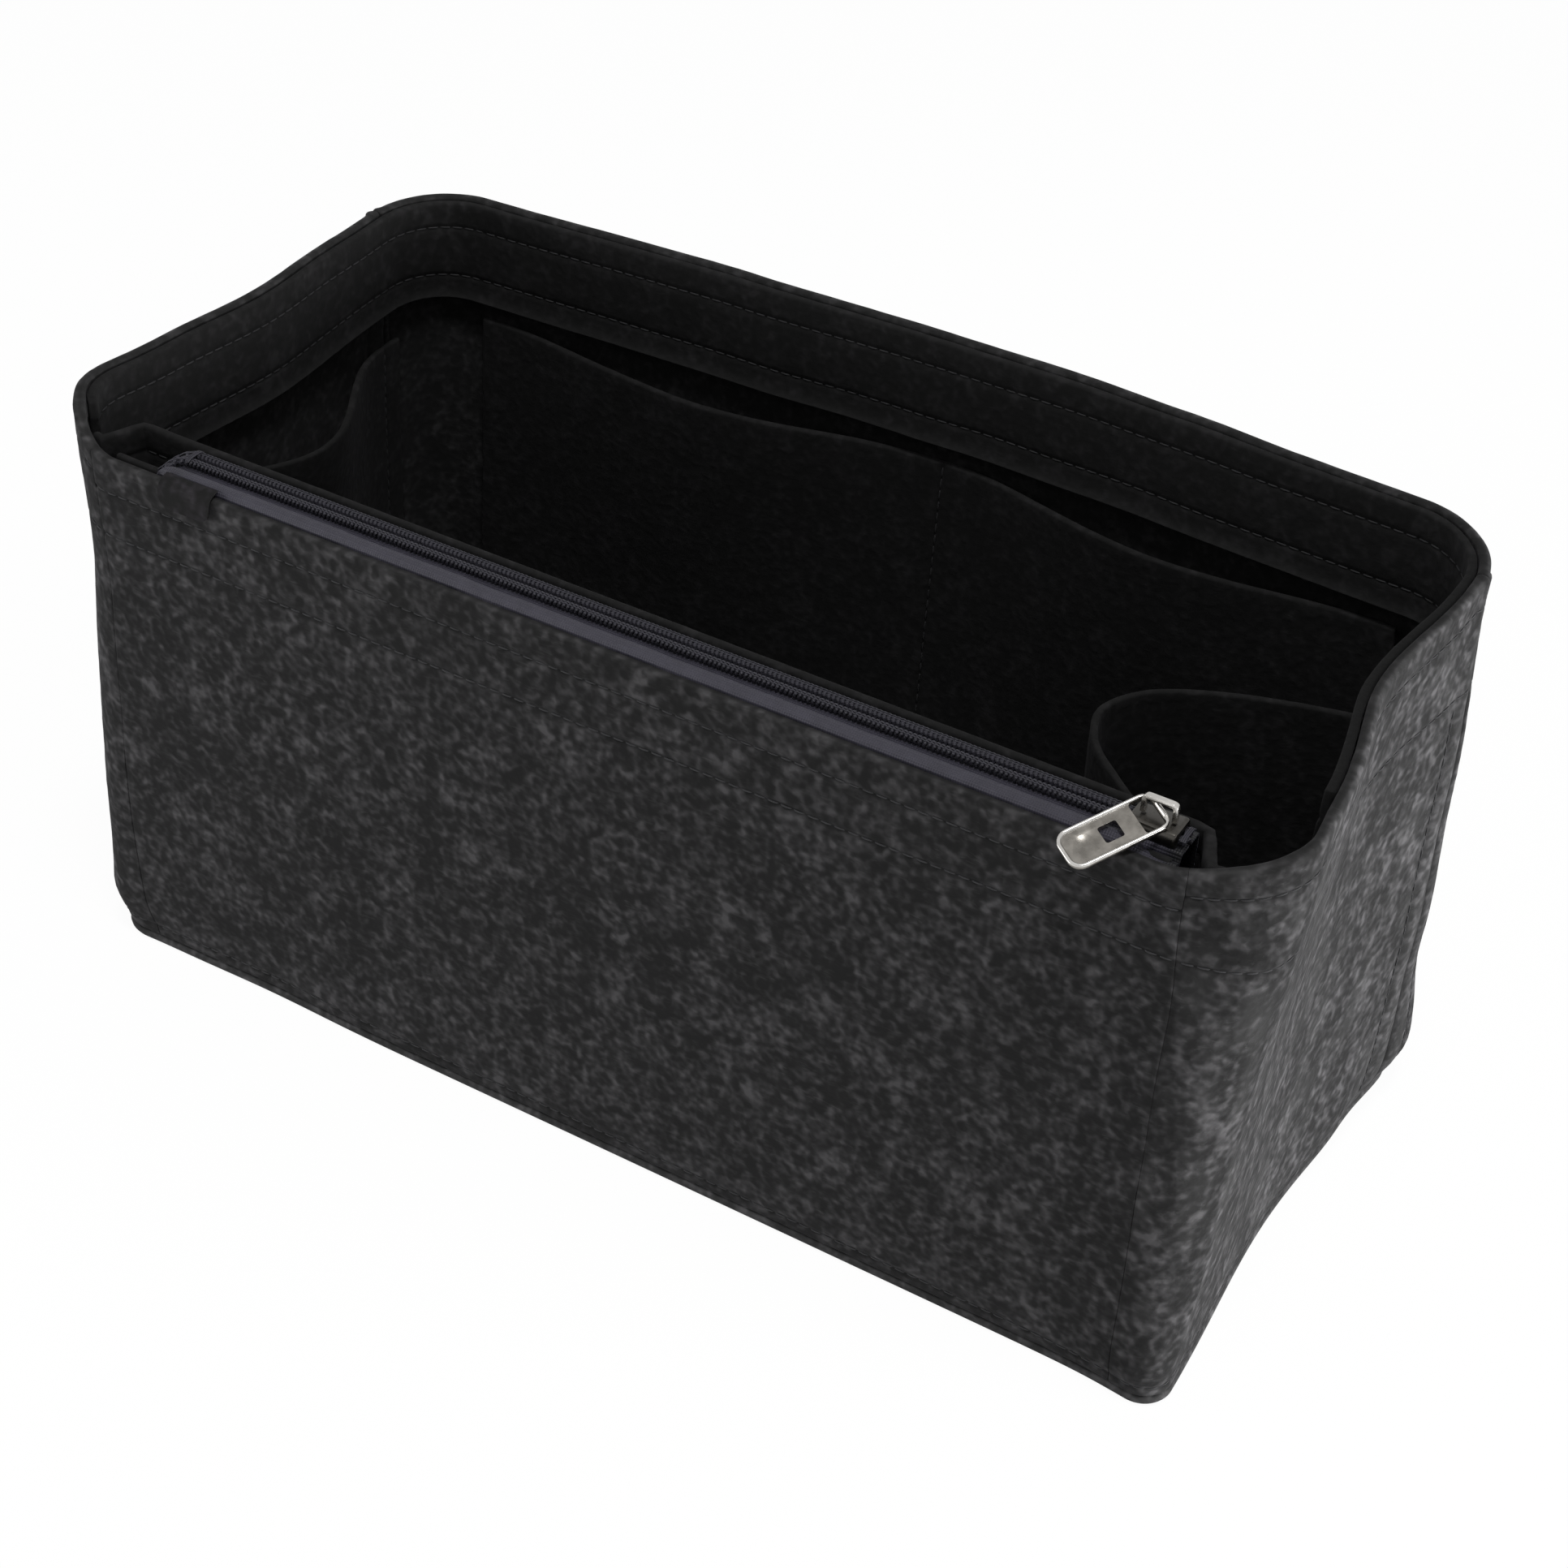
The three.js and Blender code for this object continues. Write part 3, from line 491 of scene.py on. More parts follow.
# Materials
class Nodes:
    """A material under construction, with short calls for its nodes."""

    def __init__(self, name):
        self.material = bpy.data.materials.new(name)
        self.material.use_nodes = True
        self.tree = self.material.node_tree
        self.shader = self.tree.nodes["Principled BSDF"]
        self.coordinates = self.tree.nodes.new("ShaderNodeTexCoord").outputs["Object"]

    def link(self, value, socket):
        if isinstance(value, bpy.types.NodeSocket):
            self.tree.links.new(value, socket)
        else:
            socket.default_value = value

    def node(self, kind, output=0, settings=None, **inputs):
        node = self.tree.nodes.new("ShaderNode" + kind)
        for key, value in (settings or {}).items():
            setattr(node, key, value)
        for key, value in inputs.items():
            self.link(value, node.inputs[key.replace("_", " ")])
        return node.outputs[output]

    def noise(self, scale, detail=2.0, rough=0.5, distortion=0.0, vector=None, seed=0.0):
        return self.node("TexNoise", settings={"noise_dimensions": "4D"}, Vector=vector or self.coordinates,
                         W=seed, Scale=scale, Detail=detail, Roughness=rough, Distortion=distortion)

    def math(self, operation, a, b=0.0, clamp=False):
        node = self.tree.nodes.new("ShaderNodeMath")
        node.operation, node.use_clamp = operation, clamp
        self.link(a, node.inputs[0])
        self.link(b, node.inputs[1])
        return node.outputs[0]

    def total(self, first, *rest):
        for part in rest:
            first = self.math("ADD", first, part)
        return first

    def mapped(self, value, low, high, out_low=0.0, out_high=1.0):
        node = self.tree.nodes.new("ShaderNodeMapRange")
        for socket, v in zip(node.inputs, (value, low, high, out_low, out_high)):
            self.link(v, socket)
        return node.outputs[0]

    def mix(self, share, a, b):
        node = self.tree.nodes.new("ShaderNodeMix")
        node.data_type = "RGBA"
        self.link(share, node.inputs[0])
        self.link(a, node.inputs[6])
        self.link(b, node.inputs[7])
        return node.outputs[2]

    def stored(self, name):
        return self.node("Attribute", 2, {"attribute_name": name})

    def stretched(self, turn, scale):
        return self.node("Mapping", Vector=self.coordinates, Rotation=turn, Scale=scale)

    def bump(self, height, distance, strength=1.0, normal=None):
        node = self.tree.nodes.new("ShaderNodeBump")
        node.inputs["Strength"].default_value = strength
        node.inputs["Distance"].default_value = distance
        self.link(height, node.inputs["Height"])
        if normal is not None:
            self.link(normal, node.inputs["Normal"])
        return node.outputs[0]

    def set(self, **inputs):
        for key, value in inputs.items():
            self.link(value, self.shader.inputs[key.replace("_", " ")])
        return self.material


def grey(value, violet=0.0):
    return (value * (1 + violet), value * (1 - violet), value * (1 + 2 * violet), 1)


def felt_material(name, dark, light, fleck, sheen, violet=0.012):
    """Pressed, heathered felt: mottled fibres with pale flecks, matt with a soft bloom."""
    n = Nodes(name)
    clumps = n.noise(300, 1, 0.45, 0.3, seed=1.0)
    tufts = n.noise(560, 0, 0.45, 0.25, seed=2.0)
    grain = n.noise(1500, 0, 0.5, seed=3.0)
    patches = n.noise(70, 2, 0.5, seed=4.0)
    mottle = n.total(n.mapped(clumps, 0.35, 0.69, 0.0, 0.57), n.mapped(tufts, 0.35, 0.69, 0.0, 0.42),
                     n.mapped(grain, 0.3, 0.7, -0.03, 0.03), n.mapped(patches, 0.3, 0.7, -0.17, 0.17))
    streaks = n.noise(1.0, 2, 0.5, 0.2, n.stretched((0, 0, 0), (170, 170, 60)), 9.0)
    mottle = n.math("ADD", mottle, n.mapped(streaks, 0.3, 0.7, -0.15, 0.15), clamp=True)
    mottle = n.math("POWER", mottle, 2.1)
    strands = None
    turns = [((0.3, 0.5, 0.2), (280, 1100, 1100)), ((0.9, 1.3, 2.1), (260, 1000, 1000)),
             ((1.9, 0.4, 1.2), (300, 1200, 1200))]
    for k, (turn, scale) in enumerate(turns):
        strand = n.noise(1.0, 1, 0.4, 0.8, n.stretched(turn, scale), 5.0 + k)
        strand = n.mapped(strand, 0.62, 0.82)
        strands = strand if strands is None else n.math("MAXIMUM", strands, strand)
    flecked = n.math("MULTIPLY", strands, n.mapped(clumps, 0.42, 0.62, 0.05, 0.3))
    colour = n.mix(mottle, grey(dark), grey(light, violet))
    colour = n.mix(flecked, colour, grey(fleck))
    # Painted highlight: stored paleness at edges, tops and ridges, with random mottled tone
    colour = n.mix(n.math("MULTIPLY", n.stored("pale"), 0.4), colour, grey(fleck))
    # Painted shade: stored darkening in grooves, seams and hidden parts, with random mottled tone
    colour = n.mix(n.stored("dull"), colour, grey(dark))
    height = n.total(n.math("MULTIPLY", clumps, 0.5), n.math("MULTIPLY", tufts, 0.4),
                     n.math("MULTIPLY", grain, 0.1))
    bump = n.bump(strands, 0.0001, 0.3, n.bump(height, 0.001, 0.4))
    return n.set(Base_Color=colour, Roughness=0.95, Specular_IOR_Level=0.15, Normal=bump,
                 Sheen_Weight=sheen, Sheen_Roughness=0.5, Sheen_Tint=(0.86, 0.84, 0.9, 1))


WEFT_PITCH, WARP_PITCH = 0.55 * MM, 0.7 * MM


def woven_material(name, colour, pale, end_shade):
    """Woven polyester tape: fine ribs along it crossed by closer weft yarns, with painted shade towards its
    ends.
    """
    n = Nodes(name)
    along, across, up = n.node("SeparateXYZ", Vector=n.coordinates).node.outputs
    weft = n.math("SINE", n.math("MULTIPLY", along, 2 * math.pi / WEFT_PITCH))
    girth = n.math("ADD", across, n.math("MULTIPLY", up, 0.8))
    warp = n.math("SINE", n.math("MULTIPLY", girth, 2 * math.pi / WARP_PITCH))
    height = n.math("ADD", n.math("MULTIPLY", weft, 0.3), n.math("MULTIPLY", warp, 0.3))
    wear = n.noise(240, 3, 0.6, seed=4.0)
    mixed = n.math("ADD", n.mapped(height, -0.6, 0.6, 0.0, 0.6), n.mapped(wear, 0.35, 0.65, 0.0, 0.4))
    tint = n.mix(n.stored("dull"), n.mix(mixed, colour, pale), end_shade)
    bump = n.bump(n.math("ADD", height, n.math("MULTIPLY", wear, 0.6)), 0.00012, 0.9)
    return n.set(Base_Color=tint, Roughness=0.55, Specular_IOR_Level=0.45, Normal=bump,
                 Sheen_Weight=0.15, Sheen_Roughness=0.4, Sheen_Tint=(0.8, 0.8, 0.95, 1))


def plain_material(name, colour, pale, roughness, size, distance):
    n = Nodes(name)
    grain = n.noise(size, 3, 0.6, seed=6.0)
    tint = n.mix(n.mapped(grain, 0.35, 0.65), colour, pale)
    return n.set(Base_Color=tint, Roughness=n.mapped(grain, 0.3, 0.7, roughness - 0.08, roughness + 0.08),
                 Specular_IOR_Level=0.5, Normal=n.bump(grain, distance, 0.6))


def nickel_material(name, painted_shade, depth=1.0):
    """Nickel plate with fine rubbing marks, darker in its hollows, or darker all over as painted shade."""
    n = Nodes(name)
    haze = n.noise(420, 4, 0.6, seed=7.0)
    scratch = n.noise(1.0, 2, 0.5, 0.4, n.stretched((0.4, 0.2, 0.9), (400, 6000, 6000)), 8.0)
    dull = n.math("MAXIMUM", n.stored("dull"), painted_shade)
    polished = n.mix(n.mapped(haze, 0.35, 0.7), (0.56, 0.545, 0.52, 1), (0.70, 0.685, 0.66, 1))
    low, high = ([v * depth for v in shade] + [1]
                 for shade in ((0.20, 0.188, 0.170), (0.31, 0.292, 0.266)))
    hollow = n.mix(n.mapped(haze, 0.35, 0.7), low, high)
    colour = n.mix(dull, polished, hollow)
    rough = n.total(n.mapped(haze, 0.3, 0.7, 0.17, 0.26), n.mapped(scratch, 0.6, 0.75, 0.0, 0.12),
                    n.math("MULTIPLY", dull, 0.08))
    return n.set(Base_Color=colour, Metallic=1.0, Roughness=rough, Normal=n.bump(scratch, 0.00002, 0.35))


OUTER = felt_material("outer_felt", 0.024, 0.150, 0.20, 0.05)
INNER = felt_material("inner_felt", 0.019, 0.042, 0.055, 0.03)
# The third colour is painted shade for the tape's ends
TAPE = woven_material("zipper_tape", (0.033, 0.031, 0.046, 1), (0.080, 0.076, 0.105, 1),
                      (0.010, 0.010, 0.012, 1))
COIL = plain_material("zipper_coil", (0.032, 0.031, 0.042, 1), (0.058, 0.056, 0.074, 1),
                      0.58, 900, 0.00003)
THREAD = plain_material("thread", (0.024, 0.024, 0.026, 1), (0.046, 0.046, 0.049, 1),
                        0.75, 2600, 0.00008)
NICKEL = nickel_material("nickel", 0.0)

# The tape's folded end is felted with wear, and the slider's body is dark all over: painted shade, as it lies
# in the tab's shadow
TAPE_WORN = felt_material("zipper_tape_worn", 0.026, 0.085, 0.10, 0.0, 0.05)
SHADED_NICKEL = nickel_material("nickel_painted_shade", 1.0, 0.3)


# Outer walls
def wall_place(start, end, inset, length):
    def place(run, row, depth):
        share = run / length
        rough_z = row_height(row, rim_top(lerp(start(RIM_HEIGHT), end(RIM_HEIGHT), share)))
        station = lerp(start(rough_z), end(rough_z), share)
        z = row_height(row, rim_top(station))
        x, y = wall_point(station, z, inset + depth)
        return shape(x, y, z)
    return place


def run_length(start, end):
    """Millimetres along the wall between two stations at the rim."""
    s = np.linspace(start, end, 400)
    x, y = wall_point(s, np.full(s.shape, float(RIM_HEIGHT)), 0)
    return float(np.sum(np.hypot(np.diff(x), np.diff(y))))


def mirror(station):
    return STATIONS - station


def front_seam(z, side):
    return front_station(FRONT_SEAM_X + side * SEAM_GAP, z)


def end_seam(z, side):
    return end_station(END_SEAM_Y + side * SEAM_GAP, z)


def outer_wall(start, end, upper_row, ends, rise=0, at_start=False, at_end=False, **looks):
    """An outer wall between two seams. rise is its ridge beside each back seam that it has. Its back face,
    foot and seam gaps get painted shade, and its ridges a painted highlight.
    """
    length = run_length(float(start(RIM_HEIGHT)), float(end(RIM_HEIGHT)))
    seam_edges = [(0, 1)] * at_start + [(length, -1)] * at_end
    seam_runs = [edge + inward * SEAM_STITCH for edge, inward in seam_edges]
    felt = Felt(wall_place(start, end, 0, length), length, (WALL_LOW, RIM_HEIGHT), OUTER_FELT,
                lines=[(row, *EVERYWHERE) for row in (LOW_ROW, BAND_Z, upper_row)],
                seams=[(run, 0, BAND_Z - 2) for run in seam_runs], edge=(0.5, 0.9), end=ends,
                front_groove=0.32, dull_back=0.6, dark_foot=0.8,
                ridges=[(edge + inward * SEAM_RIDGE, rise) for edge, inward in seam_edges],
                dark_runs=[edge for edge, _ in seam_edges], **looks)
    felt.length, felt.upper_row, felt.seam_runs = length, upper_row, seam_runs
    return felt


front = outer_wall(lambda z: -front_seam(z, -1), lambda z: front_seam(z, -1), FRONT_UPPER_ROW, (0.2, 0.2),
                   mottled=0.06)
# The right end gets a painted highlight on its top edge and a painted shadow line along the band by the front
# corner; its streaks are random tone.
right_end = outer_wall(lambda z: front_seam(z, 1), lambda z: end_seam(z, -1), END_UPPER_ROW, (0.25, 1.0),
                       0.9, at_end=True, dark_rows=[(BAND_Z, 0, 22)], pale_top=0.5, mottled=0.4)
left_end = outer_wall(lambda z: mirror(end_seam(z, -1)), lambda z: mirror(front_seam(z, 1)), END_UPPER_ROW,
                      (1.0, 0.25), 0.9, at_start=True, mottled=0.06)
back = outer_wall(lambda z: end_seam(z, 1), lambda z: mirror(end_seam(z, 1)), END_UPPER_ROW, (1.0, 1.0),
                  0.6, at_start=True, at_end=True, mottled=0.06)
for felt, piece, node in ((front, "front_wall", "front_panel"),
                          (right_end, "right_end_wall", "right_end_panel"),
                          (left_end, "left_end_wall", "left_end_panel"),
                          (back, "back_wall", "back_panel")):
    felt.build(piece, OUTER, "outer_felt", node)


# Facings inside the rim
facing_length = run_length(FACING_RIGHT, mirror(FACING_FROM))
facing_wall = wall_place(lambda z: FACING_RIGHT + 0 * z, lambda z: mirror(FACING_FROM) + 0 * z,
                         INNER_LAYER, facing_length)
FACING_LOW = RIM_HEIGHT - 27
FACING_LOW_STITCHES = FACING_LOW + 6


def rim_facing_place(run, row, depth):
    """The facing's raw lower edge stands a little off the wall."""
    loose = 1 - smooth(row, FACING_LOW, FACING_LOW + 2.8)
    return facing_wall(run, row, depth + 1.2 * loose ** 2)


# The facing's right part gets painted shade, and its raw lower edge a painted highlight.
rim_facing = Felt(rim_facing_place, facing_length, (FACING_LOW, RIM_HEIGHT - 0.6), LINING_FELT,
                  lines=[(row, *EVERYWHERE) for row in (FACING_LOW_STITCHES, END_UPPER_ROW)], edge=0.6,
                  front_groove=0.0, back_groove=0.42, raw_strip=1.3,
                  shade_along=lambda run: 0.95 * (1 - smooth(run, 70, 115)))
rim_facing.build("rim_facing_band", INNER, "inner_felt", "rim_facing")

facing_top = TAPE_MIDDLE - TAPE_THICKNESS / 2 - SEWN_GAP
FACING_HALF = 129.0


def front_facing_place(run, row, depth):
    x = run - FACING_HALF
    z = row + 0 * x
    station = np.sign(x) * front_station(np.abs(x), z)
    px, py = wall_point(station, z, INNER_LAYER + TAPE_THICKNESS + SEWN_GAP + depth)
    return shape(px, py, z)


front_facing = Felt(front_facing_place, 2 * FACING_HALF, (facing_top - 25, facing_top), LINING_FELT,
                    lines=[(BAND_Z, *EVERYWHERE)], edge=0.6, front_groove=0.0, back_groove=0.35)
front_facing.build("front_facing_band", INNER, "inner_felt", "front_facing")


# Pieces that stand on a plan curve
def plan_place(path, length, thickness):
    def place(run, row, depth):
        share = run / length
        z = row + 0 * share
        share = share + 0 * row
        nudge = 0.004
        x, y = path(share, z)
        x0, y0 = path(np.maximum(0, share - nudge), z)
        x1, y1 = path(np.minimum(1, share + nudge), z)
        span = np.hypot(x1 - x0, y1 - y0)
        offset = thickness / 2 - depth
        return shape(x + offset * (y1 - y0) / span, y - offset * (x1 - x0) / span, z)
    return place


def path_length(path, z):
    s = np.linspace(0, 1, 400)
    x, y = path(s, np.full(s.shape, float(z)))
    return float(np.sum(np.hypot(np.diff(x), np.diff(y))))


ZIP_WALL_TOP = 148.4
ZIP_WALL_STITCHES = ZIP_WALL_TOP - 6.5
ZIP_TURN_X, ZIP_TURN_LENGTH = 130.6, 5
ZIP_END_X = ZIP_TURN_X + ZIP_TURN_LENGTH + 1.5
ZIP_BASE_INSET = 9
TURN_PART = 0.4
ZIP_TOP_INSET = 10.1 + SLIDER_HALF + 3 * SEWN_GAP + TAPE_THICKNESS + WALL_FELT / 2


def zip_wall_path(share, z):
    edge = np.minimum(share, 1 - share)
    side = np.where(share < 0.5, -1, 1)
    away = np.where(edge < TURN_PART, lerp(ZIP_END_X, ZIP_TURN_X, edge / TURN_PART),
                    lerp(ZIP_TURN_X, 0, (edge - TURN_PART) / (0.5 - TURN_PART)))
    x = away / length_scale(z)
    radius = corner_radius(z)
    past = np.maximum(0, x - (HALF_LENGTH - radius))
    turn = radius - INNER_LAYER - WALL_FELT / 2
    on_wall = -(HALF_DEPTH - radius) - np.sqrt(np.maximum(0, turn ** 2 - past ** 2))
    behind = lerp(ZIP_BASE_INSET, ZIP_TOP_INSET, np.minimum(1, z / TAPE_LEG_LOW)) - HALF_DEPTH
    forward = smooth(away, ZIP_TURN_X, ZIP_TURN_X + ZIP_TURN_LENGTH)
    return side * x, lerp(behind, on_wall, forward)


def even_path(path, z, count=240):
    """The same curve with its share made even along its length at height z."""
    s = np.concatenate([np.linspace(0, TURN_PART, count), np.linspace(TURN_PART, 1 - TURN_PART, count)[1:],
                        np.linspace(1 - TURN_PART, 1, count)[1:]])
    x, y = path(s, np.full(s.shape, float(z)))
    run = np.concatenate([[0], np.cumsum(np.hypot(np.diff(x), np.diff(y)))])
    run /= run[-1]
    return lambda share, height: path(np.interp(share, run, s), height)


zip_path = even_path(zip_wall_path, 100)
zip_length = path_length(zip_path, 100)
zip_wall = Felt(plan_place(zip_path, zip_length, WALL_FELT), zip_length, (WALL_LOW, ZIP_WALL_TOP), WALL_FELT,
                lines=[(ZIP_WALL_STITCHES, *EVERYWHERE)], fine_runs=[8, zip_length - 8],
                front_groove=0.35, back_groove=0.35)
zip_wall.build("zip_pocket_inner_wall", INNER, "inner_felt", "zip_pocket_wall")

BACK_POCKET_HALF, DIVIDER_X, BACK_POCKET_BULGE = 126, 8, 8


def back_pocket_path(share, z):
    x = lerp(BACK_POCKET_HALF, -BACK_POCKET_HALF, share) / length_scale(z)
    divider = DIVIDER_X / length_scale(z)
    side_end = np.sign(x - divider) * BACK_POCKET_HALF / length_scale(z)
    span = side_end - divider
    across = (x - divider) / np.where(np.abs(span) < 1e-6, 1, span)
    slack = BACK_POCKET_BULGE * np.sin(math.pi * across) ** 2 * z / BACK_POCKET_TOP
    return x, HALF_DEPTH - INNER_LAYER - POCKET_FELT / 2 - slack


back_pocket_length = path_length(back_pocket_path, BACK_POCKET_TOP)
divider_run = back_pocket_length * (BACK_POCKET_HALF - DIVIDER_X) / (2 * BACK_POCKET_HALF)
back_pocket = Felt(plan_place(back_pocket_path, back_pocket_length, POCKET_FELT), back_pocket_length,
                   (WALL_LOW, BACK_POCKET_TOP), POCKET_FELT, seams=[(divider_run, *EVERYWHERE)],
                   edge=0.6, front_groove=0.0, back_groove=0.5, pale_edge=0.12)
back_pocket.build("back_slip_pocket", INNER, "inner_felt", "back_pocket_panel")


def end_layer_x(y, z):
    radius = corner_radius(z)
    turn = radius - INNER_LAYER - POCKET_FELT / 2
    past = np.maximum(0, np.abs(y) - (HALF_DEPTH - radius))
    return HALF_LENGTH - radius + np.sqrt(np.maximum(0, turn ** 2 - past ** 2))


LEFT_POCKET_HALF, LEFT_POCKET_BULGE, POCKET_FLANGE = 46, 15, 8


def left_pocket_path(share, z):
    reach = LEFT_POCKET_HALF + POCKET_FLANGE
    y = lerp(reach, -reach, share) + 0 * z
    across = np.minimum(1, np.abs(y) / LEFT_POCKET_HALF)
    slack = LEFT_POCKET_BULGE * np.cos(across * QUARTER) ** 2 * z / END_POCKET_TOP
    return slack - end_layer_x(y, z), y


left_pocket_length = path_length(left_pocket_path, END_POCKET_TOP)
left_pocket_seams = (7, left_pocket_length - 7)
left_pocket = Felt(plan_place(left_pocket_path, left_pocket_length, POCKET_FELT), left_pocket_length,
                   (WALL_LOW, END_POCKET_TOP), POCKET_FELT,
                   seams=[(run, *EVERYWHERE) for run in left_pocket_seams], edge=0.6, pale_edge=0.2)
left_pocket.build("left_slack_pocket", INNER, "inner_felt", "left_end_pocket")

LOOP_SHARES = [
    (0, 1.06), (0, 0.93), (0.05, 0.86), (0.22, 0.77), (0.45, 0.66), (0.7, 0.53), (0.92, 0.34), (1, 0.12),
    (0.94, -0.12), (0.8, -0.32), (0.6, -0.53), (0.3, -0.8), (0.06, -0.95), (0, -1.03), (0, -1.16)]
LOOP_REACH, LOOP_HALF, LOOP_OFFSET = 64, 46, 3


def loop_curve():
    """Centripetal spline through the loop's points, as even samples along it."""
    points = np.array([(-r * LOOP_REACH, LOOP_OFFSET + w * LOOP_HALF) for r, w in LOOP_SHARES])
    padded = np.vstack([2 * points[0] - points[1], points, 2 * points[-1] - points[-2]])
    out = []
    for p0, p1, p2, p3 in zip(padded, padded[1:], padded[2:], padded[3:]):
        t0, t1, t2 = (max(np.linalg.norm(b - a) ** 0.5, 1e-4) for a, b in ((p0, p1), (p1, p2), (p2, p3)))
        m1 = ((p1 - p0) / t0 - (p2 - p0) / (t0 + t1) + (p2 - p1) / t1) * t1
        m2 = ((p2 - p1) / t1 - (p3 - p1) / (t1 + t2) + (p3 - p2) / t2) * t1
        for t in np.linspace(0, 1, 20, endpoint=False):
            out.append((2 * t ** 3 - 3 * t ** 2 + 1) * p1 + (t ** 3 - 2 * t ** 2 + t) * m1
                       + (3 * t ** 2 - 2 * t ** 3) * p2 + (t ** 3 - t ** 2) * m2)
    out.append(points[-1])
    out = np.array(out)
    run = np.concatenate([[0], np.cumsum(np.linalg.norm(np.diff(out, axis=0), axis=1))])
    return out, run / run[-1]


loop_points, loop_run = loop_curve()


def bottle_loop_path(share, z):
    x = np.interp(share, loop_run, loop_points[:, 0])
    y = np.interp(share, loop_run, loop_points[:, 1])
    return end_layer_x(y, z) + np.minimum(0, x), y + 0 * z


loop_length = path_length(bottle_loop_path, END_POCKET_TOP)
loop_seams = (4, loop_length - 4)
bottle_loop = Felt(plan_place(bottle_loop_path, loop_length, POCKET_FELT), loop_length,
                   (LOOP_LOW, END_POCKET_TOP), POCKET_FELT, step=2.0,
                   seams=[(run, *EVERYWHERE) for run in loop_seams], edge=0.6, pale_edge=0.2)
bottle_loop.build("bottle_loop_band", INNER, "inner_felt", "right_end_bottle_loop")


# Base panel: a flat felt sheet whose edge shows as a ridge under the walls
# Inset and height round its edge, and how much painted highlight its raw edge has there
BASE_EDGE = [(3.5, 0.0, 0), (0.6, 0.0, 0.2), (0.0, 0.3, 0.4), (-0.35, 0.9, 0.45), (-0.35, 1.8, 0.45),
             (0.0, 2.4, 0.4), (0.6, 2.7, 0.1), (3.5, 2.7, 0)]


def base_panel():
    rings = []
    stations = np.linspace(0, STATIONS, 400, endpoint=False)
    for inset, z, _ in BASE_EDGE:
        heights = np.full(stations.shape, float(z))
        x, y = wall_point(stations, heights * 0, inset)
        rings.append(shape(x, y, heights))
    count = len(stations)
    verts = np.concatenate(rings)
    faces = ring_faces(len(rings), count)
    for ring, flip in ((0, True), (len(rings) - 1, False)):
        corners = [Vector(p) for p in rings[ring]]
        for triangle in tessellate_polygon([corners]):
            ids = [ring * count + k for k in triangle]
            p, q, r = (verts[k] for k in ids)
            upward = np.cross(q - p, r - p)[2] > 0
            faces.append(ids if upward != flip else ids[::-1])
    obj = new_object("base_sheet", verts, faces, OUTER, "base_panel", math.radians(60))
    pale = np.repeat([shade for _, _, shade in BASE_EDGE], count)
    write_shades(obj, pale, 0 * pale)


base_panel()


# Stitching
def across(row, low, high):
    """A line of stitches along a sheet at one row."""
    return lambda s: (lerp(low, high, s), np.full(s.shape, float(row)))


def upward(run, low, high):
    """A line of stitches up a sheet at one run."""
    return lambda s: (np.full(s.shape, float(run)), lerp(low, high, s))


rim_stitches, band_stitches, seam_stitches, pocket_stitches = (Stitches() for _ in range(4))
for felt in (front, right_end, left_end, back):
    for stitches, row in ((rim_stitches, felt.upper_row), (band_stitches, BAND_Z), (seam_stitches, LOW_ROW)):
        stitches.along(felt, across(row, 1.2, felt.length - 1.2))
    for run in felt.seam_runs:
        seam_stitches.along(felt, upward(run, LOW_ROW + 2, BAND_Z - 2))
for row in (FACING_LOW_STITCHES, END_UPPER_ROW):
    band_stitches.along(rim_facing, across(row, 2, facing_length - 2), back=True)
band_stitches.along(front_facing, across(BAND_Z, 2, 2 * FACING_HALF - 2), back=True)
pocket_stitches.along(zip_wall, across(ZIP_WALL_STITCHES, 12, zip_length - 12))
pocket_stitches.along(back_pocket, upward(divider_run, 6, BACK_POCKET_TOP - 1), back=True)
for felt, runs, back_face in ((left_pocket, left_pocket_seams, True), (bottle_loop, loop_seams, False)):
    for run in runs:
        pocket_stitches.along(felt, upward(run, felt.levels[0] + 4, END_POCKET_TOP - 1.5), back=back_face)
for stitches, name in ((rim_stitches, "rim_stitching"), (band_stitches, "band_stitching"),
                       (seam_stitches, "seam_stitching"), (pocket_stitches, "pocket_stitching")):
    stitches.build(name, THREAD)


# Zipper: tapes and coils bend down into the pocket at the left end
BEND_X, BEND_RADIUS, BEND_TURN = CHAIN_LEFT + 2.5, 3.2, math.radians(80)
TIP_FROM, TIP_LENGTH, TIP_Y = -109.9, 4.6, -67.5


def bend_left(p):
    """Gathers the chain's left end forwards in a rounded tip and turns it down round a small radius."""
    p = p.copy()
    x, z = p[..., 0].copy(), p[..., 2].copy()
    tip = np.clip((TIP_FROM - x) / TIP_LENGTH, 0, 1)
    p[..., 1] = lerp(p[..., 1], TIP_Y, 1 - np.sqrt(1 - 0.96 * tip ** 2))
    past = np.maximum(0, BEND_X - x)
    angle = np.minimum(past / BEND_RADIUS, BEND_TURN)
    rest = past - angle * BEND_RADIUS
    height = BEND_RADIUS + z - TAPE_MIDDLE
    down = TAPE_MIDDLE - BEND_RADIUS + height * np.cos(angle) - rest * np.sin(angle)
    p[..., 0] = np.where(past > 0, BEND_X - height * np.sin(angle) - rest * np.cos(angle), x)
    p[..., 2] = np.where(past > 0, down, z)
    return p


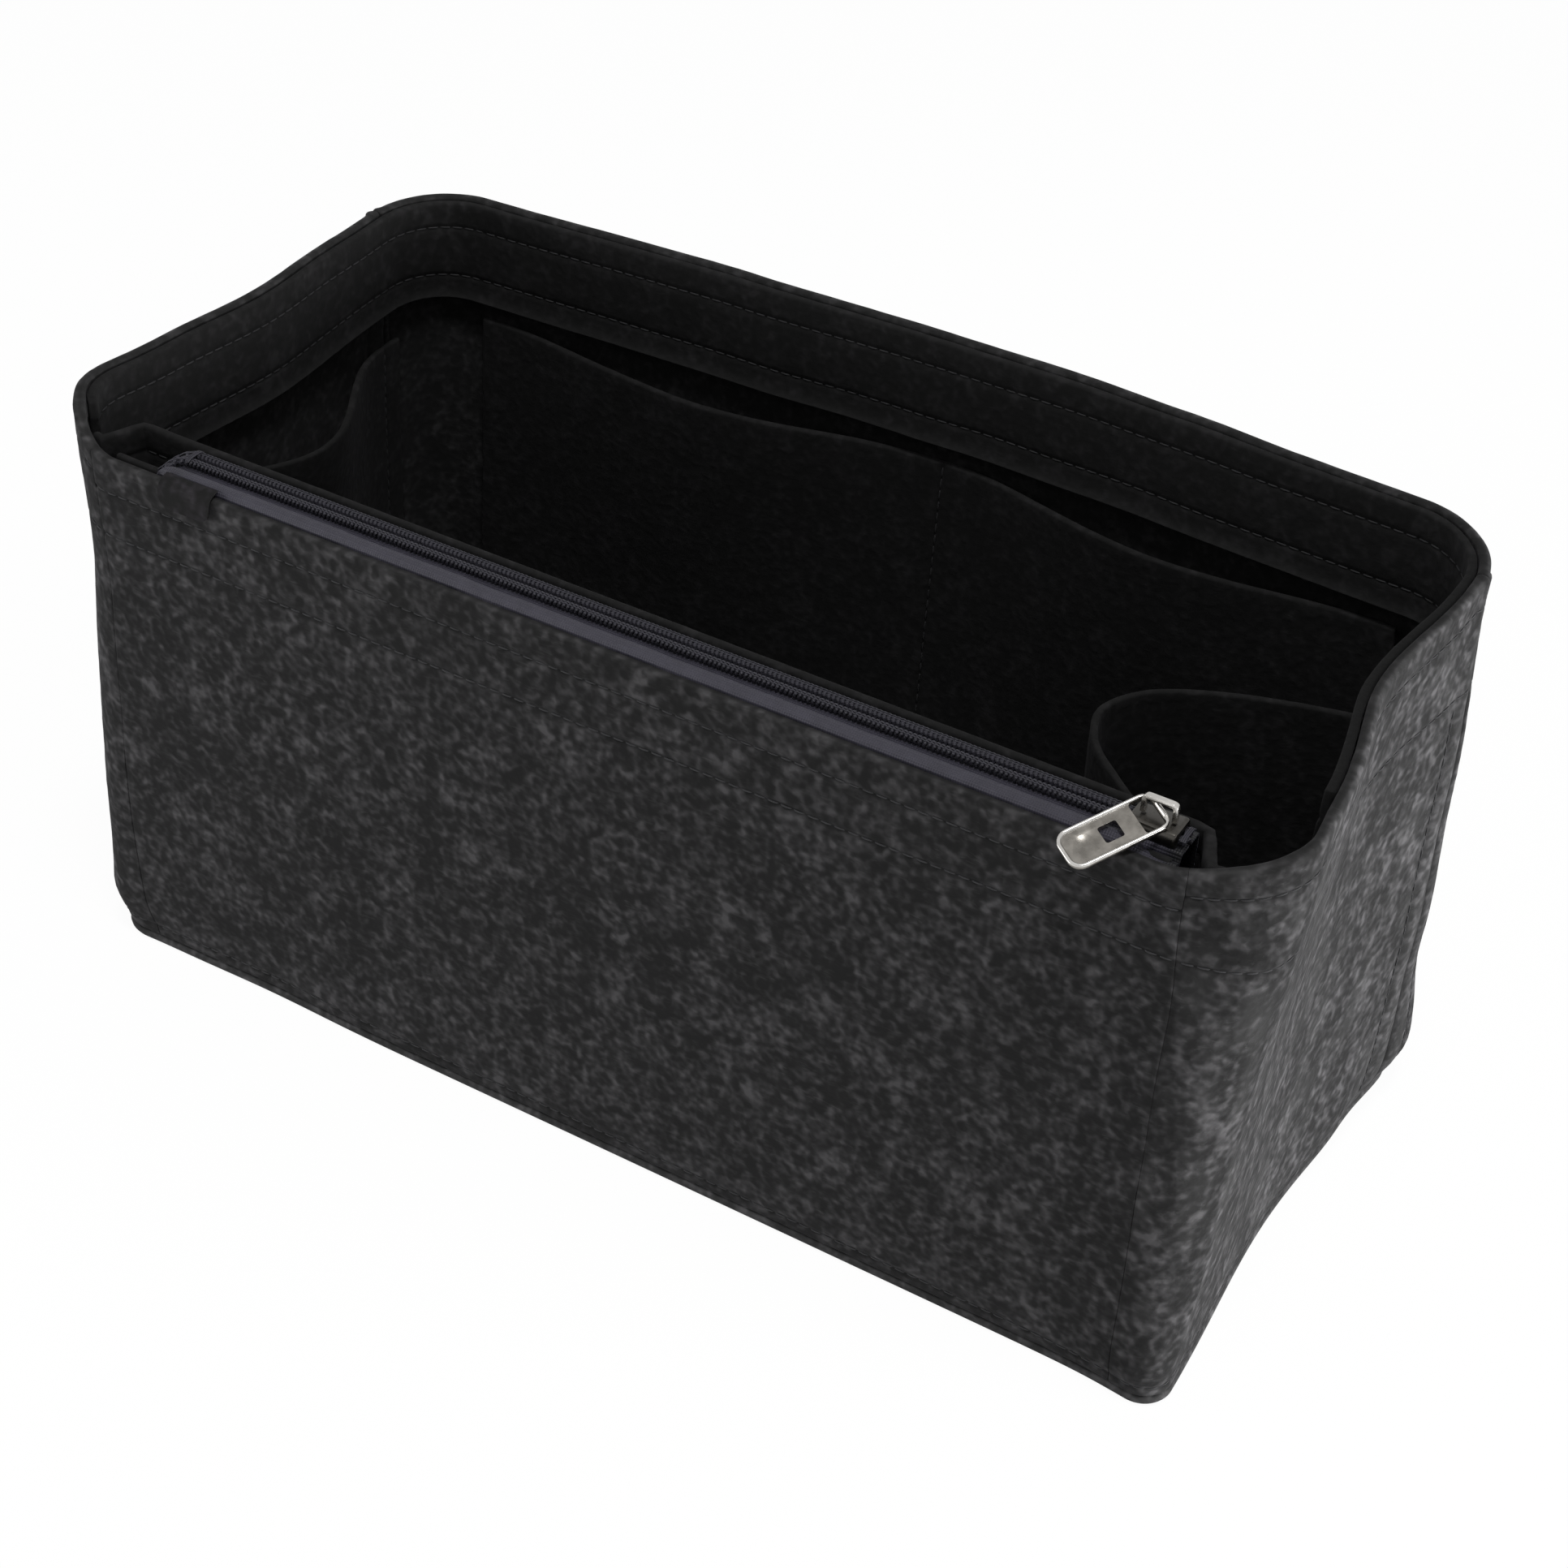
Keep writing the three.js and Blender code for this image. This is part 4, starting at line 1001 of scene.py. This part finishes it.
def tape(name, line, leg_top, node):
    """A woven tape swept along the chain from a bent line of y and z places. Below the height of
    the line's point leg_top it hangs, and that leg is drawn up where the chain turns down."""
    line = np.array(line, float)
    columns = np.concatenate([np.linspace(CHAIN_LEFT - 5.5, BEND_X + 2, 24),
                              np.linspace(BEND_X + 3, CHAIN_RIGHT, 200)])
    ahead = np.gradient(line, axis=0)
    ahead /= np.linalg.norm(ahead, axis=1)[:, None]
    normal = np.stack([-ahead[:, 1], ahead[:, 0]], 1)
    half = TAPE_THICKNESS / 2
    loop = np.concatenate([line + normal * half, (line - normal * half)[::-1]])
    top = line[leg_top, 1]
    rings = []
    for x in columns:
        ring = np.concatenate([np.full((len(loop), 1), x), loop], 1)
        hanging = ring[:, 2] < top
        kept = max(float(smooth(x, BEND_X + 0.5, BEND_X + 6)), 0.06)
        ring[hanging, 2] = top - (top - ring[hanging, 2]) * kept
        near = ring * np.array([1, 0.25, 0])
        wave = (0.16 * noise(near, 9, 51) + 0.12 * noise(near, 3.5, 52))[:, None] * np.array([0, 0.7, 1])
        ring = ring + wave * 0.4
        ring[:, 2] -= ROLL_SINK * smooth(x, 117, 126) * (1 - smooth(ring[:, 1], -65.2, -64.4))
        rings.append(bend_left(ring))
    verts = np.concatenate(rings)
    size = len(loop)
    faces = ring_faces(len(columns), size)
    for c, flip in ((0, False), (len(columns) - 1, True)):
        for k in range(len(line) - 1):
            quad = [c * size + k, c * size + k + 1, c * size + size - 2 - k, c * size + size - 1 - k]
            faces.append(quad[::-1] if flip else quad)
    obj = new_object(name, verts, faces, TAPE, node)
    x = verts[:, 0]
    # Painted shade towards the right end by the slider and at the left tip
    write_shades(obj, 0 * x, np.maximum(smooth(x, 126, 128.5), 0.35 * smooth(-x, 105, 109)))


def arc_line(centre, reach, start, end, steps):
    angles = np.radians(np.linspace(start, end, steps))
    return [(centre[0] + reach[0] * math.cos(a), centre[1] + reach[1] * math.sin(a)) for a in angles]


FRONT_LEG_Y = -67.9
ROLL_Y, ROLL_HALF, ROLL_HEIGHT, ROLL_SINK = -66.75, 1.6, 1.4, 2.8
front_line = [(FRONT_LEG_Y, z) for z in np.linspace(TAPE_LEG_LOW, TAPE_MIDDLE - 0.9, 6)]
front_line += arc_line((ROLL_Y, TAPE_MIDDLE + 0.2), (ROLL_HALF, ROLL_HEIGHT), 190, 8, 16)
front_line += [(y, TAPE_MIDDLE) for y in np.linspace(ROLL_Y + ROLL_HALF + 0.5, CHAIN_Y - 0.4, 6)]
REAR_LEG_Y = CHAIN_Y + SLIDER_HALF + 2 * SEWN_GAP + TAPE_THICKNESS / 2
rear_line = [(y, TAPE_MIDDLE) for y in np.linspace(CHAIN_Y + 0.45, REAR_LEG_Y - 0.9, 5)]
rear_line += arc_line((REAR_LEG_Y - 0.8, TAPE_MIDDLE - 0.8), (0.8, 0.8), 80, 0, 6)
rear_line += [(REAR_LEG_Y, z) for z in np.linspace(TAPE_MIDDLE - 1.4, TAPE_LEG_LOW, 6)]
tape("front_zipper_tape", front_line, 6, "zip_front_tape")
tape("rear_zipper_tape", rear_line, 10, "zip_rear_tape")

PATCH_X, PATCH_HALF, PATCH_ROUND = -104.9, 7.0, 3
PATCH_LINE = [(-68.4, 148.9), (-69.3, 148.75), (-70.3, 148.4), (-71.2, 147.7), (-71.75, 146.6),
              (-71.9, 145.4)] + [(-71.95, z) for z in np.linspace(144.9, 142.4, 5)]


def tape_patch():
    """The end of the front tape, folded forwards over the rim and sewn flat on the front."""
    line = np.array(PATCH_LINE)
    rows = len(line)
    shares = np.linspace(-1, 1, 17)
    verts, faces = [], []
    for layer in (0.25, -0.2):
        for k, (y, z) in enumerate(line):
            drop = max(0, PATCH_ROUND - (z - line[-1, 1])) / PATCH_ROUND
            width = PATCH_HALF * (1 - 0.35 * (1 - math.sqrt(max(0, 1 - drop ** 2))))
            for share in shares:
                p = np.array([PATCH_X + share * width, y, z])
                p = p + sway(p) * (0.9 if k > 2 else 0)
                ahead = line[min(k + 1, rows - 1)] - line[max(k - 1, 0)]
                out = np.array([0, ahead[1], -ahead[0]]) / np.linalg.norm(ahead)
                puff = 0.12 * float(noise(p * np.array([1, 0, 1]), 3.2, 61))
                verts.append(p + out * (layer + puff))
    width = len(shares)
    size = rows * width
    for r in range(rows - 1):
        for k in range(width - 1):
            a = r * width + k
            quad = [a, a + 1, a + 1 + width, a + width]
            faces += [quad, [corner + size for corner in quad[::-1]]]
    grid = np.arange(size).reshape(rows, width)
    border = np.concatenate([grid[0], grid[1:, -1], grid[-1, -2::-1], grid[-2:0:-1, 0]]).tolist()
    for a, b in zip(border, border[1:] + border[:1]):
        faces.append([b, a, a + size, b + size])
    obj = new_object("tape_end_patch", verts, faces, TAPE_WORN)
    write_shades(obj, np.zeros(len(verts)), np.zeros(len(verts)))


tape_patch()

COIL_PITCH, WIRE, CORE = 1.05, 0.4, 0.5
COIL_Y, COIL_REACH, COIL_STEPS = 1.37, 0.68, 12


def flattened(v):
    return np.sign(v) * np.abs(v) ** 0.6


def coil(name, side, node):
    """A nylon coil row: one flattened helix round a core, its heads at the middle of the chain."""
    turns = int((CHAIN_RIGHT - CHAIN_LEFT + 4) / COIL_PITCH)
    t = np.arange(turns * COIL_STEPS + 1) / COIL_STEPS
    a = 2 * math.pi * t
    middle_z, reach_z = (COIL_LOW + COIL_HIGH) / 2, (COIL_HIGH - COIL_LOW) / 2 - WIRE
    shift = 0.5 * COIL_PITCH * (side > 0)
    x = CHAIN_RIGHT - shift - t * COIL_PITCH
    y = CHAIN_Y + side * (COIL_Y - COIL_REACH * flattened(np.cos(a)))
    z = middle_z + reach_z * flattened(np.sin(a))
    row = Stitches(sides=7)
    row.tube(bend_left(np.stack([x, y, z], -1)), np.full(x.shape, WIRE))
    x = np.linspace(CHAIN_RIGHT - 0.4, CHAIN_LEFT - 3, 240)
    core = np.stack([x, np.full(x.shape, CHAIN_Y + side * COIL_Y), np.full(x.shape, middle_z)], -1)
    row.tube(bend_left(core), np.full(x.shape, CORE))
    row.build(name, COIL, "zipper_coil", node)


coil("front_zipper_coil", -1, "zip_front_coil")
coil("rear_zipper_coil", 1, "zip_rear_coil")

# Threads that sew the coils to the tapes, and the bar tacks across the chain's ends
THREAD_RADIUS = 0.14
chain_thread = Stitches()
for side in (-1, 1):
    for away in (1.35, 1.95):
        x = np.arange(CHAIN_RIGHT, CHAIN_LEFT - 3.5, -COIL_PITCH / 4)
        a = 2 * math.pi * (CHAIN_RIGHT - x) / COIL_PITCH
        y = np.full(x.shape, CHAIN_Y + side * away)
        z = COIL_HIGH + 0.02 - 0.13 * (1 - np.cos(a)) / 2
        chain_thread.tube(bend_left(np.stack([x, y, z], -1)), np.full(x.shape, THREAD_RADIUS))
chain_thread.build("chain_thread", COIL, "zipper_coil")

TACK_HALF, TACK_Z, TACK_PASSES, TACK_STEP = 2.6, 150.05, 6, 0.19
TACK_ARCH = np.array([-0.5, -0.05, 0.1, 0.12, 0.12, 0.12, 0.1, -0.05, -0.5])


def bar_tack(name, x0, node):
    """Passes of thread across the chain, side by side and a little uneven."""
    tack = Stitches()
    y = np.linspace(CHAIN_Y - TACK_HALF, CHAIN_Y + TACK_HALF, len(TACK_ARCH))
    for k in range(TACK_PASSES):
        x = np.full(y.shape, x0 + 0.15 + k * TACK_STEP) + 0.04 * (-1) ** k
        tack.tube(np.stack([x, y, TACK_Z + TACK_ARCH + 0.05 * (k % 2)], -1), np.full(y.shape, THREAD_RADIUS))
    tack.build(name, COIL, node=node)


bar_tack("left_tack_thread", -111.2, "left_bar_tack")
bar_tack("right_tack_thread", 128.7, "right_bar_tack")

# Pull tab: a cast plate with a rounded border, a recessed floor, a slot, a window and a dimple
TAB_START, TAB_TIP, TAB_HALF, TAB_CORNER = -0.55, 20.95, 4.7, 3.0
TAB_FLOOR = 0.3
WINDOW_X, WINDOW_HALF = TAB_TIP - 10.4, 2
DIMPLE_RADIUS, DIMPLE_DEPTH = 7.2, 0.34
TAB_SWING, TAB_LEAN = math.radians(55), math.radians(20)
TAB_PIVOT = Vector((123, CHAIN_Y, 153.1)) * MM
# How far in from its outline and how high the plate's surface lies, from below to the floor
TAB_PROFILE = [(0.30, -0.50), (0.10, -0.43), (0.0, -0.25), (0.0, 0.35), (0.06, 0.55), (0.20, 0.70),
               (0.40, 0.76), (0.62, 0.72), (0.78, 0.58), (0.88, 0.40), (1.02, TAB_FLOOR)]


def rounded_loop(x0, x1, half, radius, z, steps=8):
    """Corner arcs of a rounded rectangle, anticlockwise, in metres."""
    points = []
    for cx, cy, start in ((x1 - radius, half - radius, 0), (x0 + radius, half - radius, 90),
                          (x0 + radius, radius - half, 180), (x1 - radius, radius - half, 270)):
        for k in range(steps + 1):
            a = math.radians(start + 90 * k / steps)
            points.append(((cx + radius * math.cos(a)) * MM, (cy + radius * math.sin(a)) * MM, z * MM))
    return points


def loft(name, loops):
    """A closed mesh through loops of as many points each, capped at both ends."""
    size = len(loops[0])
    faces = ring_faces(len(loops), size)
    faces.append(list(range(size))[::-1])
    faces.append([(len(loops) - 1) * size + k for k in range(size)])
    mesh = bpy.data.meshes.new(name)
    mesh.from_pydata([point for loop in loops for point in loop], [], faces)
    mesh.update()
    return link_new(name, mesh)


def cut(obj, tool):
    """Cuts the tool's shape out of the piece for good, and deletes the tool."""
    modifier = obj.modifiers.new("cut", "BOOLEAN")
    modifier.operation, modifier.solver, modifier.object = "DIFFERENCE", "EXACT", tool
    graph = bpy.context.evaluated_depsgraph_get()
    mesh = bpy.data.meshes.new_from_object(obj.evaluated_get(graph))
    obj.modifiers.clear()
    obj.data = mesh
    bpy.data.objects.remove(tool)


def prism(x0, x1, half, radius):
    """A rounded upright tool that passes right through the plate."""
    return loft("tool", [rounded_loop(x0, x1, half, radius, z, 5) for z in (-3, 3)])


def pull_tab():
    plate = loft("nickel_pull_tab", [rounded_loop(TAB_START + d, TAB_TIP - d, TAB_HALF - d, TAB_CORNER - d, z)
                                     for d, z in TAB_PROFILE])
    cut(plate, prism(0.55, 4.95, 3.9, 0.8))
    cut(plate, prism(WINDOW_X - WINDOW_HALF, WINDOW_X + WINDOW_HALF, WINDOW_HALF, 0.5))
    ball = bpy.data.meshes.new("tool")
    sphere = bmesh.new()
    bmesh.ops.create_uvsphere(sphere, u_segments=96, v_segments=64, radius=DIMPLE_RADIUS * MM)
    sphere.to_mesh(ball)
    sphere.free()
    tool = link_new("tool", ball)
    tool.location = Vector((TAB_TIP - 4.8, 0, TAB_FLOOR + DIMPLE_RADIUS - DIMPLE_DEPTH)) * MM
    bpy.context.view_layer.update()
    cut(plate, tool)
    heights = np.array([v.co.z / MM for v in plate.data.vertices])
    write_shades(plate, 0 * heights, 1 - smooth(heights, TAB_FLOOR + 0.02, TAB_FLOOR + 0.25))
    face_up = Vector((0, -math.sin(TAB_LEAN), math.cos(TAB_LEAN)))
    down_slope = Vector((0, -math.cos(TAB_LEAN), -math.sin(TAB_LEAN)))
    along = Vector((-math.cos(TAB_SWING), 0, 0)) + down_slope * math.sin(TAB_SWING)
    turn = Matrix((along, face_up.cross(along), face_up)).transposed().to_4x4()
    plate.data.transform(Matrix.Translation(TAB_PIVOT) @ turn)
    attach(plate, "pull")
    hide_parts("pull_tab")
    return plate


def finish_metal(obj, width, material=NICKEL):
    """Nickel on a piece, with its sharp edges softened."""
    obj.data.materials.clear()
    obj.data.materials.append(material)
    obj.data.shade_smooth()
    weld = obj.modifiers.new("weld", "WELD")
    weld.merge_threshold = 0.00001
    bevel = obj.modifiers.new("bevel", "BEVEL")
    bevel.width = width * MM
    bevel.segments = 3
    bevel.limit_method = "ANGLE"
    bevel.angle_limit = math.radians(32)
    bevel.harden_normals = True


finish_metal(pull_tab(), 0.12)
finish_metal(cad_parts["slider_body"], 0.18, SHADED_NICKEL)
finish_metal(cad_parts["slider_bridge"], 0.22)

# Camera at the photograph's place
AZIMUTH, ELEVATION, ROLL = (math.radians(v) for v in (28.38, 37.36, 3.49))
CAMERA_PLACE = Vector((262.43, -468.67, 478.21)) * MM
SENSOR, FOCAL_PIXELS, PHOTO_PIXELS = 36, 3491.5, 1932
back_axis = Vector((math.sin(AZIMUTH) * math.cos(ELEVATION), -math.cos(AZIMUTH) * math.cos(ELEVATION),
                    math.sin(ELEVATION)))
right_axis = Vector((0, 0, 1)).cross(back_axis).normalized()
up_axis = back_axis.cross(right_axis)
turned_right = math.cos(ROLL) * right_axis + math.sin(ROLL) * up_axis
turned_up = -math.sin(ROLL) * right_axis + math.cos(ROLL) * up_axis
camera = link_new("camera", bpy.data.cameras.new("camera"))
basis = Matrix((turned_right, turned_up, back_axis)).transposed().to_4x4()
camera.matrix_world = Matrix.Translation(CAMERA_PLACE) @ basis
camera.data.sensor_width = SENSOR
camera.data.lens = SENSOR * FOCAL_PIXELS / PHOTO_PIXELS
camera.data.clip_start, camera.data.clip_end = 0.01, 20
bpy.context.scene.camera = camera


# World and floor: white to the camera, a little less white in reflections, and dim as light
WORLD_LIGHT, WORLD_GLOSS = 0.10, 0.75
FLOOR_HALF, FLOOR_Z = 6, -0.0004


def ray_share(tree, *kinds):
    """One for rays of these kinds, and zero for all others."""
    path = tree.nodes.new("ShaderNodeLightPath")
    share = path.outputs[kinds[0]]
    for kind in kinds[1:]:
        either = tree.nodes.new("ShaderNodeMath")
        either.operation = "MAXIMUM"
        tree.links.new(share, either.inputs[0])
        tree.links.new(path.outputs[kind], either.inputs[1])
        share = either.outputs[0]
    return share


def shader(tree, kind, colour):
    node = tree.nodes.new("ShaderNode" + kind)
    node.inputs["Color"].default_value = (colour, colour, colour, 1)
    return node


world = bpy.data.worlds.new("studio")
bpy.context.scene.world = world
world.use_nodes = True
tree = world.node_tree
glossy = tree.nodes.new("ShaderNodeMath")
glossy.operation = "MULTIPLY_ADD"
tree.links.new(ray_share(tree, "Is Glossy Ray"), glossy.inputs[0])
glossy.inputs[1].default_value = WORLD_GLOSS
tree.links.new(ray_share(tree, "Is Camera Ray", "Is Transmission Ray"), glossy.inputs[2])
strength = tree.nodes.new("ShaderNodeMapRange")
tree.links.new(glossy.outputs[0], strength.inputs["Value"])
strength.inputs["To Min"].default_value = WORLD_LIGHT
strength.inputs["To Max"].default_value = 1.0
sky = tree.nodes["Background"]
sky.inputs["Color"].default_value = (1, 1, 1, 1)
tree.links.new(strength.outputs[0], sky.inputs["Strength"])

floor_mesh = bpy.data.meshes.new("floor")
floor_corners = [(x * FLOOR_HALF, y * FLOOR_HALF, FLOOR_Z) for x, y in ((-1, -1), (1, -1), (1, 1), (-1, 1))]
floor_mesh.from_pydata(floor_corners, [], [(0, 1, 2, 3)])
link_new("floor", floor_mesh)
paper = Nodes("floor")
floor_mesh.materials.append(paper.material)
tree = paper.tree
diffuse = shader(tree, "BsdfDiffuse", 0.45)
glow = shader(tree, "Emission", 1)
glow.inputs["Strength"].default_value = 0.955
shown = tree.nodes.new("ShaderNodeAddShader")
tree.links.new(shader(tree, "BsdfDiffuse", 0.10).outputs[0], shown.inputs[0])
tree.links.new(glow.outputs[0], shown.inputs[1])
blend = tree.nodes.new("ShaderNodeMixShader")
tree.links.new(ray_share(tree, "Is Camera Ray", "Is Glossy Ray", "Is Transmission Ray"), blend.inputs[0])
tree.links.new(diffuse.outputs[0], blend.inputs[1])
tree.links.new(shown.outputs[0], blend.inputs[2])
tree.links.new(blend.outputs[0], tree.nodes["Material Output"].inputs["Surface"])


def area_light(name, place, target, size, energy):
    data = bpy.data.lights.new(name, "AREA")
    data.shape, data.size, data.size_y, data.energy = "RECTANGLE", size[0], size[1], energy
    light = link_new(name, data)
    light.location = place
    light.rotation_mode = "QUATERNION"
    light.rotation_quaternion = (Vector(target) - Vector(place)).to_track_quat("-Z", "Y")


area_light("right", (1.5, 0.10, 0.135), (0.05, 0, 0.10), (1.0, 0.26), 22.5)
area_light("front", (-0.80, -0.62, 0.135), (-0.05, -0.07, 0.08), (0.6, 0.26), 2.5)
area_light("top", (0.30, -0.40, 1.90), (0, 0, 0.1), (0.35, 0.35), 8.8)

bpy.context.scene.view_settings.view_transform = "Standard"
